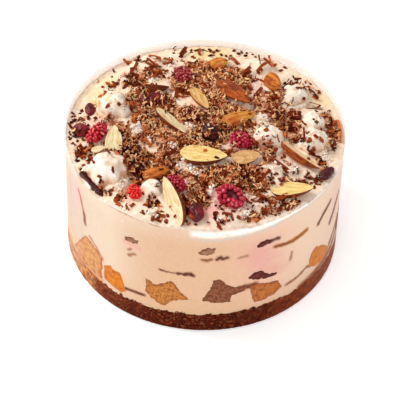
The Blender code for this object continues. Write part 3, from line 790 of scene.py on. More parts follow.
def makeFilmMaterial():
    made = bpy.data.materials.new("clear film")
    made.use_nodes = True
    tree = made.node_tree
    pen = Wire(tree)
    shader = tree.nodes["Principled BSDF"]
    shader.inputs["Base Color"].default_value = paint(*film["colour"])
    shader.inputs["Roughness"].default_value = 0.12
    facing = pen.node("ShaderNodeLayerWeight", None, {"Blend": 0.5}, "Facing")
    clear = pen.node("ShaderNodeBsdfTransparent")
    gloss = Wire(tree, shader.outputs[0])
    share = film["haze"] + film["edgeHaze"] * facing**5 + pen.attribute("smear", "Fac")
    both = pen.node("ShaderNodeMixShader", None, {0: share, 1: clear, 2: gloss})
    tree.links.new(both.socket, tree.nodes["Material Output"].inputs["Surface"])
    return made


finish(makeFilm(), "collar_film", [makeFilmMaterial()], ["collar"], 60)
print("collar made")


# almonds, whole and halved
almonds = {
    "thickness": (0.62, 0.9),  # of the width, for a whole almond and a half
    "taper": 0.30,
    "grooves": 0.055,
    "dents": (0.06, 0.42),  # depth of a cut face and of the dents in it
    "around": 44,
    "along": 34,
    "faceRings": (0.94, 0.92, 0.88, 0.8, 0.65, 0.4),  # each ring of a cut face against the one outside it
    # x, y, heading, length, width, halved, roll, pitch, lift, skin, flesh
    "places": (
        (-38.2, -11.5, 92, 17.0, 6.9, True, 6, -4, 2.2, "brown", "ivory"),
        (-44.5, -16.7, 31, 6.0, 3.6, True, 0, 0, 1.4, "brown", "ivory"),
        (-14.5, 1.0, -52, 20.0, 6.8, True, -27, 0, 2.6, "brown", "ivory"),
        (-2.6, 17.0, -64, 15.4, 6.2, True, -14, 0, 2.4, "orange", "gold"),
        (-0.4, -20.0, -4, 19.6, 10.4, True, -4, 0, 3.0, "brown", "yellow"),
        (17.4, -20.0, 22, 11.8, 7.0, True, 6, 0, 2.2, "brown", "tan"),
        (-12.5, -47.4, 110, 23.2, 8.8, True, -62, -16, 3.2, "brown", "ivory"),
        (12.1, 21.4, -50, 21.2, 8.0, False, 0, -6, 2.8, "rust", "ivory"),
        (29.5, 30.0, -53, 10.5, 8.0, False, 58, -12, 2.0, "orange", "ivory"),
        (5.4, 43.4, 28, 8.6, 7.4, False, 0, -10, 1.2, "bright", "ivory"),
        (14.3, 5.1, 25, 15.8, 7.0, False, 0, 0, 1.6, "bright", "ivory"),
        (-19.5, -30.2, 32, 12.4, 6.0, False, 0, 6, 1.2, "orange", "ivory"),
        (40.0, -16.8, -49, 23.0, 8.6, True, -37, 0, 2.7, "rust", "peach"),
        (32.0, -21.8, -46, 11.2, 4.0, True, -58, 0, 0.9, "brown", "tan"),
        (35.8, -37.4, -3, 17.0, 8.2, True, -6, -10, 2.4, "brown", "yellow"),
        (-22.6, 25.4, -3, 12.6, 7.6, True, -45, 0, 2.0, "brown", "ivory"),
    ),
    "dust": (250, 205, 150),
    "skins": {  # groove, ridge
        "brown": ((104, 38, 10), (176, 84, 34)),
        "rust": ((112, 36, 4), (224, 106, 28)),
        "orange": ((164, 62, 8), (255, 156, 58)),
        "bright": ((190, 76, 8), (255, 198, 88)),
    },
    "fleshes": {  # shade, light
        "ivory": ((222, 176, 112), (255, 238, 196)),
        "yellow": ((226, 172, 84), (255, 228, 158)),
        "gold": ((206, 138, 62), (250, 206, 134)),
        "tan": ((190, 132, 76), (238, 190, 130)),
        # painted light: a lighter copy of the flesh for almond 13's brightly lit cut face
        "peach": ((250, 196, 140), (255, 230, 190)),
    },
}


def makeAlmond(index, spec):
    x, y, heading, length, width, halved, roll, pitch, lift = spec[:9]
    piece = add(
        bpy.ops.mesh.primitive_uv_sphere_add,
        segments=almonds["around"], ring_count=almonds["along"], radius=1, rotation=(0, math.pi / 2, 0),
    )
    points = corners(piece)
    for i, (along, across, up) in enumerate(points):
        turn = math.atan2(up, across)
        ridge = wave(turn, along * 0.7 + index * 3, 3.4) + 0.5 * wave(turn, along * 1.2 + index * 5, 8)
        tip = between((along - 0.55) / 0.45)
        girth = width / 2 * (1 - almonds["taper"] * along) * (1 - 0.22 * tip**2)
        girth *= 1 + almonds["grooves"] * ridge
        points[i] = along * length / 2, across * girth, up * girth * almonds["thickness"][halved]
    setCorners(piece, points * mm)
    if halved:
        edit(piece, "FACE", lambda points: sum(p.z for p in points) > 0)
        bpy.ops.mesh.delete(type="FACE")
        edit(piece, "EDGE", lambda points: all(abs(p.z) < 0.001 * mm for p in points))
        bpy.ops.mesh.edge_face_add()
        for share in almonds["faceRings"]:
            bpy.ops.mesh.extrude_region_move()
            bpy.ops.transform.resize(value=(share, share, 1), center_override=(0, 0, 0))
        bpy.ops.mesh.poke()
        leave()
        points = corners(piece)
        faceDepth, dentDepth = almonds["dents"]
        for i, (along, across, up) in enumerate(points):
            share = 2 * along / (length * mm)
            girth = (1 - almonds["taper"] * share) * width / 2 * mm * math.sqrt(max(0.01, 1 - share**2))
            rim = 1 - abs(across) / girth
            if up > -0.001 * mm and rim > 0.1 and abs(share) < 0.93:
                dent = noise.noise(Vector((along * 0.4, across * 1.6, index * mm)) / (2.2 * mm))
                points[i, 2] = -mm * min(1, rim * 3) * (faceDepth + dentDepth * abs(dent))
        setCorners(piece, points)
    note(piece, "local", corners(piece) / mm)
    for face in piece.data.polygons:
        face.material_index = int(halved and face.normal.z > 0.6)
    faceKinds = [face.material_index for face in piece.data.polygons]
    rest(piece, x, y, lift, heading, roll, pitch)
    slotName, materials = "almond_flesh" if halved else "almond_skin", almondMaterials(*spec[9:])
    finish(piece, f"almond_nut_{index + 1}", materials, [f"almond_{index + 1}"], 50)
    for face, kind in zip(piece.data.polygons, faceKinds):
        face.material_index = kind
    return piece


def skinShade(groove, ridge):
    def shade(pen):
        local = pen.attribute("local")
        streak = pen.cloud(pen.stretch(local, (0.13, 1.7, 1.7)), 1.0, 3, 0.6)
        wide = pen.cloud(pen.stretch(local, (0.1, 0.55, 0.55)), 1.0, 2)
        speck = pen.cloud(local, 3.2, 2)
        colour = pen.mix(paint(*groove), paint(*ridge), (streak * 0.7 + wide * 0.5).rise(0.42, 0.82))
        colour = pen.mix(colour, paint(*almonds["dust"]), speck.rise(0.62, 0.8) * 0.25)
        return {
            "Base Color": colour,
            "Roughness": 0.42 + 0.3 * streak,
            "Normal": pen.bump(streak + 0.2 * speck, 0.001, 1.0),
        }

    return shade


def fleshShade(shadow, light):
    def shade(pen):
        local = pen.attribute("local")
        streak = pen.cloud(pen.stretch(local, (0.2, 0.9, 0.9)), 0.9, 3, 0.6)
        grain = pen.cloud(local, 2.6, 2)
        colour = pen.mix(paint(*shadow), paint(*light), (streak * 0.8 + grain * 0.3).rise(0.35, 0.72))
        return {"Base Color": colour, "Normal": pen.bump(streak + 0.4 * grain, 0.0003, 0.6)}

    return shade


def almondMaterials(skin, flesh):
    return (
        makeMaterial(f"almond skin {skin}", skinShade(*almonds["skins"][skin]), Specular_IOR_Level=0.25),
        makeMaterial(
            f"almond flesh {flesh}", fleshShade(*almonds["fleshes"][flesh]),
            Roughness=0.5, Subsurface_Weight=0.08, Specular_IOR_Level=0.25,
        ),
    )


almondPieces = [makeAlmond(index, spec) for index, spec in enumerate(almonds["places"])]
print("almonds made")


# raspberries: drupelets set on a core
raspberries = {
    "drupelets": 80,
    "drupelet": 0.235,  # radius against the berry's half width
    "height": 0.9,
    "core": 0.78,
    "cup": 0.62,  # how far an open berry's core is sunk
    "mouth": 0.86,  # cosine of the opening's half angle
    "depth": (0.72, 0.88),  # where the drupelets' middles lie, against the berry's half size
    # x, y, heading, length, width, lift, finish, open towards the viewer
    "places": (
        (-45.8, -7.2, 63, 13.2, 6.8, 2.0, "red", False),
        (-11.0, -37.2, -48, 10.2, 6.2, 2.4, "crimson", False),
        (15.3, -9.8, -26, 10.4, 7.2, 2.4, "crimson", False),
        (11.0, -43.6, -41, 13.2, 9.2, 2.6, "crimson", True),
        (-27.8, -41.4, -66, 7.8, 5.4, 1.8, "bright", False),
        (-10.5, 33.6, -55, 10.2, 7.2, 2.0, "wine", False),
    ),
    "opening": Vector((0.05, -0.42, 0.9)),
    "finishes": {  # valley with painted shade, flank, tip that is partly paler and partly painted highlight
        "red": ((128, 8, 22), (206, 26, 44), (255, 150, 150)),
        "crimson": ((98, 8, 20), (186, 22, 50), (255, 140, 160)),
        "bright": ((170, 6, 8), (232, 16, 16), (255, 120, 100)),
        "wine": ((92, 18, 22), (158, 40, 46), (240, 150, 140)),
    },
}


def makeDrupelet():
    points, faces = shapeOf(add(bpy.ops.mesh.primitive_uv_sphere_add, segments=9, ring_count=7, radius=1))
    points[:, 2] = np.where(points[:, 2] > 0, points[:, 2] * 1.15, points[:, 2])  # a little pointed
    return points, faces


def makeRaspberry(index, spec):
    x, y, heading, length, width, lift, tone, opened = spec
    draw = random.Random(40 + index)
    half = Vector((length / 2, width / 2, width / 2 * raspberries["height"])) * mm
    turn = Matrix.Rotation(math.radians(heading), 3, "Z")
    opening = (turn.transposed() @ raspberries["opening"]).normalized()
    points, faces = drupelet
    parts, tips = [], []
    count = raspberries["drupelets"]
    for i in range(count):
        up = 1 - 2 * (i + 0.5) / count
        around = i * math.pi * (3 - math.sqrt(5)) + draw.uniform(-0.15, 0.15)
        out = Vector((math.sqrt(1 - up**2) * math.cos(around), math.sqrt(1 - up**2) * math.sin(around), up))
        if opened and out.dot(opening) > raspberries["mouth"]:
            continue
        size = raspberries["drupelet"] * width / 2 * mm * draw.uniform(0.85, 1.15)
        middle = Vector(a * b for a, b in zip(out, half)) * draw.uniform(*raspberries["depth"])
        aim = out.to_track_quat("Z", "Y").to_matrix()
        placed = points @ np.array(aim).T * size + np.array(middle)
        parts.append((placed, faces))
        tips.append(points[:, 2])
    inner, sides = shapeOf(add(bpy.ops.mesh.primitive_ico_sphere_add, subdivisions=4, radius=1))
    for i, corner in enumerate(inner):
        inward = max(0.0, Vector(corner).dot(opening) - 0.55) / 0.45 if opened else 0.0
        inner[i] = corner * raspberries["core"] * (1 - raspberries["cup"] * inward)
    parts.append((inner * np.array(half), sides))
    # the core takes the valleys' painted shade
    tips.append(np.full(len(inner), -0.4))
    piece = joined("berry", parts)
    note(piece, "tip", np.concatenate(tips))
    rest(piece, x, y, lift, heading)
    material = makeMaterial(
        f"berry {tone}", berryShade(*raspberries["finishes"][tone]), Roughness=0.35, Subsurface_Weight=0.12,
        Subsurface_Scale=0.001, Coat_Weight=0.12, Coat_Roughness=0.25, Specular_IOR_Level=0.3,
    )
    node = f"raspberry_{index + 1}"
    return finish(piece, f"raspberry_fruit_{index + 1}", [material], [node], 0)


def berryShade(valleyShade, flank, paleTipsAndHighlight):
    def shade(pen):
        tip = pen.attribute("tip", "Fac")
        place = pen.place()
        patch = pen.cloud(place, 520, 3)
        # painted shade in the valleys between drupelets; paler tips, partly painted highlight
        colour = pen.mix(paint(*valleyShade), paint(*flank), tip.rise(-0.2, 0.7))
        colour = pen.mix(colour, paint(*paleTipsAndHighlight), tip.rise(0.75, 1.15) * patch.rise(0.45, 0.66) * 0.85)
        return {"Base Color": colour, "Normal": pen.bump(pen.cloud(place, 1500, 2), 0.0002, 0.5)}

    return shade


drupelet = makeDrupelet()
berryPieces = [makeRaspberry(index, spec) for index, spec in enumerate(raspberries["places"])]
print("raspberries made")


# dark wrinkled cherries
cherries = {
    "dents": 0.3,
    "waves": 1.3,
    "wrinkles": 0.055,
    "height": 0.85,
    # x, y, heading, length, width, lift, redness, how much of it the shavings cover
    "places": (
        (-52.6, -4.6, -24, 8.6, 6.8, 1.4, 0.8, 0.1),
        (-50.2, 9.6, -85, 8.2, 4.7, 1.0, 0.7, 0.05),
        (-23.5, 16.2, 8, 12.6, 6.9, 1.4, 0.75, 0.25),
        (-6.5, 7.0, -50, 9.4, 7.0, 1.4, 0.4, 0.7),
        (2.0, -4.8, -45, 10.8, 8.6, 2.2, 0.1, 0.12),
        (-30.0, -17.6, -45, 9.2, 7.4, 2.0, 0.25, 0.75),
        (-28.9, -27.4, -49, 9.0, 7.0, 1.6, 0.3, 0.75),
        (31.0, 8.6, -33, 7.0, 5.8, 1.8, 0.35, 0.7),
        (38.6, 9.3, -41, 6.4, 5.2, 1.2, 0.3, 0.7),
        (50.6, -25.8, 52, 9.2, 5.3, 1.2, 0.2, 0.1),
        (-3.2, -51.0, -72, 11.2, 7.2, 1.4, 0.8, 0.3),
    ),
    "black": (62, 14, 12),
    "red": (150, 24, 38),
}


def makeCherry(index, spec):
    x, y, heading, length, width, lift, redness = spec[:7]
    piece = add(bpy.ops.mesh.primitive_ico_sphere_add, subdivisions=5, radius=1)
    points = corners(piece)
    for i, corner in enumerate(points):
        corner = Vector(corner)
        dent = abs(noise.noise(corner * cherries["waves"] + Vector((index * 3.0, 0, 0))))
        wrinkle = 1 - abs(noise.noise(corner * 3.2 + Vector((0, index * 2.0, 0)))) * 2
        wrinkle += 0.5 * (1 - abs(noise.noise(corner * 7 + Vector((0, 0, index * 2.0)))) * 2)
        points[i] = corner * (1.03 - cherries["dents"] * dent - cherries["wrinkles"] * wrinkle)
    points *= np.array((length, width, width * cherries["height"])) * mm / 2
    setCorners(piece, points)
    note(piece, "redness", np.full(len(points), redness))
    rest(piece, x, y, lift, heading)
    node = f"cherry_{index + 1}"
    return finish(piece, f"cherry_fruit_{index + 1}", [cherryMaterial], [node], 0)


def cherryShade(pen):
    place = pen.place()
    patch = pen.cloud(place, 260, 4, 0.6)
    fine = pen.cloud(place, 900, 2)
    share = pen.attribute("redness", "Fac") * patch.rise(0.3, 0.65)
    colour = pen.mix(paint(*cherries["black"]), paint(*cherries["red"]), share)
    relief = pen.bump(fine + patch, 0.0005, 0.6)
    return {"Base Color": colour, "Roughness": 0.22 + 0.3 * patch, "Normal": relief}


cherryMaterial = makeMaterial(
    "dark cherry", cherryShade, Coat_Weight=0.06, Coat_Roughness=0.25, Specular_IOR_Level=0.25,
)
cherryPieces = [makeCherry(index, spec) for index, spec in enumerate(cherries["places"])]
print("cherries made")


# biscuit, cake and fruit in the side: each outline is extruded, remeshed, torn and bent to the wall
sidePieces = {
    "voxel": 0.42 * mm,
    "widen": 0.7 * mm,  # the torn edge lies under the cream, so the piece is cut a little larger
    "proud": 0.13 * mm,  # how far its face lies into the film
    "inner": 0.8,  # size of its inner end against its face
    "edgeSink": 0.42 * mm,
    "edgeWidth": 1.3 * mm,
    "bulge": 0.06,  # the most that the face may stand back, in mm
    "tear": 0.6 * mm,
    "patchy": {"cherry": 0.5, "date": 0.5},  # how uneven the edge's colour is, 2.2 for the others
    "wet": ("peach", "browned", "cherry"),
    # depth, relief of the face and its size, then the dark, middle and light colours and the edge's
    "kinds": {
        "sponge": (8, 0.22, 1.5, (168, 92, 54), (212, 154, 98), (238, 194, 134), (176, 78, 50)),
        "peach": (7, 0.12, 2.6, (170, 78, 14), (214, 122, 16), (232, 152, 48), (196, 112, 56)),
        "biscuit": (7, 0.24, 1.3, (124, 60, 28), (200, 126, 58), (236, 174, 112), (146, 82, 40)),
        "browned": (7, 0.12, 2.0, (130, 58, 20), (190, 108, 46), (216, 142, 88), (150, 80, 56)),
        "brownie": (7, 0.16, 1.4, (84, 40, 24), (142, 84, 56), (176, 118, 88), (112, 62, 40)),
        "cherry": (4.5, 0.12, 1.3, (58, 12, 10), (100, 34, 28), (178, 104, 88), (66, 22, 16)),
        "date": (4, 0.16, 1.3, (92, 52, 34), (164, 116, 88), (206, 162, 132), (116, 72, 50)),
    },
    "looks": {"peach_piece_2": "browned"},
    "front": {
        "sponge_piece_1": (
            (-54, 29.5), (-57.5, 24.5), (-62, 18), (-66, 11.6), (-54, 11.2),
            (-43.6, 11.2), (-43.2, 17), (-43, 23.5), (-46.2, 27.2), (-50.5, 29),
        ),
        "peach_piece_1": (
            (-42.3, 21.5), (-38.6, 24.5), (-37.2, 22.4), (-33.5, 23.2), (-31.9, 19.4),
            (-30.7, 13.6), (-32.4, 11.4), (-36, 11.4), (-39, 12.4), (-42.3, 13.6),
        ),
        "biscuit_piece_1": (
            (-21.9, 26.9), (-18.6, 25), (-16.2, 25.2), (-12.8, 28.4), (-10, 28.4), (-8.8, 25),
            (-3.7, 18.9), (-9.3, 18), (-12.3, 14.9), (-15.2, 12.6), (-18.2, 15), (-22, 18.8),
        ),
        "brownie_piece_1": (
            (0.5, 18.9), (3.8, 26.3), (5, 31.4), (8.5, 31.2), (10.4, 28), (13.5, 26),
            (17.6, 26.1), (17.6, 22.6), (12.4, 21), (11.9, 17), (6, 17.2),
        ),
        "cherry_slice_1": (
            (18.4, 29.8), (20.9, 32.4), (24.2, 32.7), (26.8, 29.4), (32.5, 28),
            (31, 26.6), (27, 26.6), (21, 27.8),
        ),
        "peach_piece_2": (
            (19.6, 23.8), (22.3, 25.2), (27.5, 23.8), (31.9, 22.8), (34, 17.6),
            (31.5, 15.2), (26.7, 13.9), (21.7, 13.6), (20.4, 19),
        ),
        "peach_piece_3": (
            (48.3, 22.4), (49.9, 26.5), (53.4, 28.4), (59.8, 22.8), (65.5, 16),
            (62.8, 14), (58.7, 13.6), (53.6, 15.2), (49, 19),
        ),
        "date_slice_1": (
            (-1.8, 46.6), (-0.2, 48.7), (2.4, 50), (5, 49.7), (5.4, 47.8), (4.3, 46), (0.8, 45.5),
        ),
        "date_slice_2": (
            (-31.8, 44.5), (-30.5, 46.6), (-27.3, 47.6), (-24.7, 46.6), (-25.5, 45), (-28, 44),
        ),
        "cherry_slice_3": (
            (20.5, 46.4), (22.8, 49.3), (25.7, 49.8), (28.2, 48.6), (27.4, 46.8), (24.3, 46.2),
        ),
    },
    # name, angle, height, width, tall
    "hidden": (
        ("brownie_piece_2", 81, 19.5, 15, 11), ("biscuit_piece_2", 102, 21.5, 17, 12),
        ("cherry_slice_2", 119, 30.5, 11, 5.5), ("sponge_piece_2", 130, 18.8, 21, 11),
        ("peach_piece_4", 158, 19.5, 13, 10), ("brownie_piece_3", 183, 22.5, 17, 12),
        ("biscuit_piece_3", 209, 18.5, 18, 11), ("peach_piece_5", 235, 20.5, 14, 11),
        ("brownie_piece_4", 264, 21.0, 16, 11), ("date_slice_3", 146, 45.5, 8, 4),
        ("cherry_slice_4", 222, 46.5, 9, 4),
    ),
}


def hiddenOutline(angle, height, width, tall, seed):
    # an uneven blocky outline for a piece that the front view doesn't show
    draw = random.Random(seed)
    radius = (wallRadius(height * mm) - cake["gap"]) / mm
    outline = []
    for i in range(9):
        turn = 2 * math.pi * (i + 0.3 * draw.random()) / 9
        reach = 1 + 0.16 * (2 * draw.random() - 1)
        reach *= max(abs(math.cos(turn)), abs(math.sin(turn))) ** -0.6
        across, up = width / 2 * reach * math.cos(turn), tall / 2 * reach * math.sin(turn)
        outline.append((angle + math.degrees(across / radius), height + up))
    return outline


def widened(outline, distance):
    pairs = list(zip(outline, outline[1:] + outline[:1]))
    turns = sum(a.cross(b) for a, b in pairs)
    outward = Matrix.Rotation(math.copysign(math.pi / 2, -turns), 2)
    normals = [outward @ (b - a).normalized() for a, b in pairs]
    moved = []
    for i, corner in enumerate(outline):
        before, after = normals[i - 1], normals[i]
        moved.append(corner + distance * (before + after) / max(0.6, 1 + before.dot(after)))
    return moved


def makeSidePiece(name, outline):
    kind = name.split("_")[0]
    depth, relief, size = sidePieces["kinds"][kind][:3]
    angle = math.radians(sum(a for a, _ in outline) / len(outline))
    height = sum(z for _, z in outline) / len(outline) * mm
    radius = wallRadius(height) - cake["film"]
    flat = [Vector(((math.radians(a) - angle) * radius, z * mm - height)) for a, z in outline]
    flat = widened(flat, sidePieces["widen"])
    bpy.ops.mesh.primitive_circle_add(vertices=len(flat), radius=mm, fill_type="NGON")
    piece = bpy.context.object
    setCorners(piece, [(across, 0, up) for across, up in flat])
    edit(piece, "FACE", lambda points: True)
    bpy.ops.mesh.extrude_region_move(TRANSFORM_OT_translate={"value": (0, depth * mm, 0)})
    inner = sidePieces["inner"]
    bpy.ops.transform.resize(value=(inner, 1, inner), center_override=(0, 0, 0))
    bpy.ops.mesh.select_all(action="SELECT")
    bpy.ops.mesh.normals_make_consistent(inside=False)
    leave()
    applyModifier(piece, "REMESH", mode="VOXEL", voxel_size=sidePieces["voxel"])
    points = corners(piece)
    note(piece, "local", points / mm)
    edge = toEdge(points[:, (0, 2)], flat)
    note(piece, "edge", edge / mm)
    seed = Vector((len(name) * 3.1, height / mm, 0))
    for i, (across, inward, up) in enumerate(points):
        spot = Vector((across, up, inward)) / (size * mm) + seed
        rough = noise.noise(spot) + 0.6 * noise.noise(spot * 2.4)
        sink = sidePieces["edgeSink"] * max(0.0, 1 - edge[i] / sidePieces["edgeWidth"]) ** 1.5
        front = max(0.0, 1 - inward / (2 * mm))
        inward += front * (sink + min(relief * rough, sidePieces["bulge"]) * mm)
        across += sidePieces["tear"] * noise.noise(spot * 1.1 + Vector((7, 0, 0)))
        up += sidePieces["tear"] * noise.noise(spot * 1.1 + Vector((0, 7, 0)))
        turn, z = angle + across / radius, height + up
        points[i] = onSide(turn, innerWall(turn, z) + sidePieces["proud"] - inward, z)
    setCorners(piece, points)
    material = sideMaterial(sidePieces["looks"].get(name, kind))
    return finish(piece, f"{name}_torn", [material], [name], 0)


def sideMaterial(kind):
    size, dark, middle, light, rim = sidePieces["kinds"][kind][2:]
    patchy = sidePieces["patchy"].get(kind, 2.2)

    def shade(pen):
        local = pen.attribute("local")
        patch = pen.cloud(local, 0.9 / size, 3, 0.6)
        grain = pen.cloud(local, 2.4 / size, 3, 0.65)
        colour = pen.mix(paint(*dark), paint(*middle), patch.rise(0.32, 0.56))
        colour = pen.mix(colour, paint(*light), grain.rise(0.52, 0.7) * 0.8)
        colour = pen.mix(colour, paint(*dark), (1 - grain.rise(0.3, 0.42)) * 0.6)
        edge = pen.attribute("edge", "Fac") + patchy * (pen.cloud(local, 0.55, 3, 0.65) - 0.5)
        colour = pen.mix(colour, paint(*rim), (1 - edge.rise(0.8, 2.0)) * 0.85)
        colour = pen.mix(colour, paint(*cream["low"]), (1 - edge.rise(0.1, 0.45)) * 0.9)
        return {"Base Color": colour, "Normal": pen.bump(grain, 0.0004, 0.7)}

    roughness = 0.4 if kind in sidePieces["wet"] else 0.7
    return makeMaterial(f"side {kind}", shade, Roughness=roughness, Specular_IOR_Level=0.05)


for name, outline in sidePieces["front"].items():
    makeSidePiece(name, outline)
for seed, (name, *measures) in enumerate(sidePieces["hidden"]):
    makeSidePiece(name, hiddenOutline(*measures, seed))
print("side pieces made")


# chocolate strips against the collar, and the chocolate itself
rimStrips = {
    "places": ((-53, 15, 3.2, 2.1, -0.05), (92, 15, 3.0, 1.6, 0.5)),  # angle, arc, height, thickness, tone
    "inset": 1.9 * mm,
    "sink": 0.8 * mm,
    "bend": 0.35 * mm,
    "bevel": 0.12 * mm,
    # colours from the darkest tone to the palest
    "tones": ((0.0, (64, 12, 1)), (0.3, (146, 56, 18)), (0.6, (224, 122, 60)), (1.0, (255, 212, 158))),
}


def makeRimStrip(index, spec):
    middle, arc, tall, thick, tone = spec
    foot = cake["creamEdge"] - rimStrips["sink"]
    radius = wallRadius(foot) - cake["film"] - rimStrips["inset"]
    piece = add(bpy.ops.mesh.primitive_cube_add, size=1, location=(0, 0, 0.5))
    cut(piece, 0, 28)
    cut(piece, 2, 6)
    leave()
    points = corners(piece)
    for i, (along, across, up) in enumerate(points):
        turn = math.radians(middle + arc * along)
        torn = swirl(along * 9, index * 7) + 0.5 * swirl(along * 30, index)
        height = tall * mm * (1 - 0.16 * (1 + torn) - 0.35 * (2 * abs(along)) ** 6)
        bend = rimStrips["bend"] * swirl(along * 3, up * 0.8, index)
        out = radius + across * thick * mm * (1 - 0.35 * up) + bend
        points[i] = onSide(turn, out, foot + up * height)
    setCorners(piece, points)
    applyModifier(piece, "BEVEL", width=rimStrips["bevel"], segments=2)
    note(piece, "tone", np.full(len(piece.data.vertices), tone))
    node = f"chocolate_strip_{index + 1}"
    return finish(piece, f"rim_strip_{index + 1}", [chocolateMaterial], [node])


def chocolateShade(pen):
    place = pen.place()
    tone = pen.attribute("tone", "Fac")
    grain = pen.cloud(place, 1400, 2)
    patch = pen.cloud(place, 480, 2)
    stops = [(position, paint(*tint)) for position, tint in rimStrips["tones"]]
    colour = pen.node("ShaderNodeValToRGB", {"stops": stops}, {"Fac": tone + 0.3 * (patch - 0.5)})
    return {"Base Color": colour, "Roughness": 0.4 + 0.3 * grain, "Normal": pen.bump(grain, 0.0002, 0.5)}


chocolateMaterial = makeMaterial("chocolate", chocolateShade, Specular_IOR_Level=0.06)
stripPieces = [makeRimStrip(index, spec) for index, spec in enumerate(rimStrips["places"])]
print("strips made")


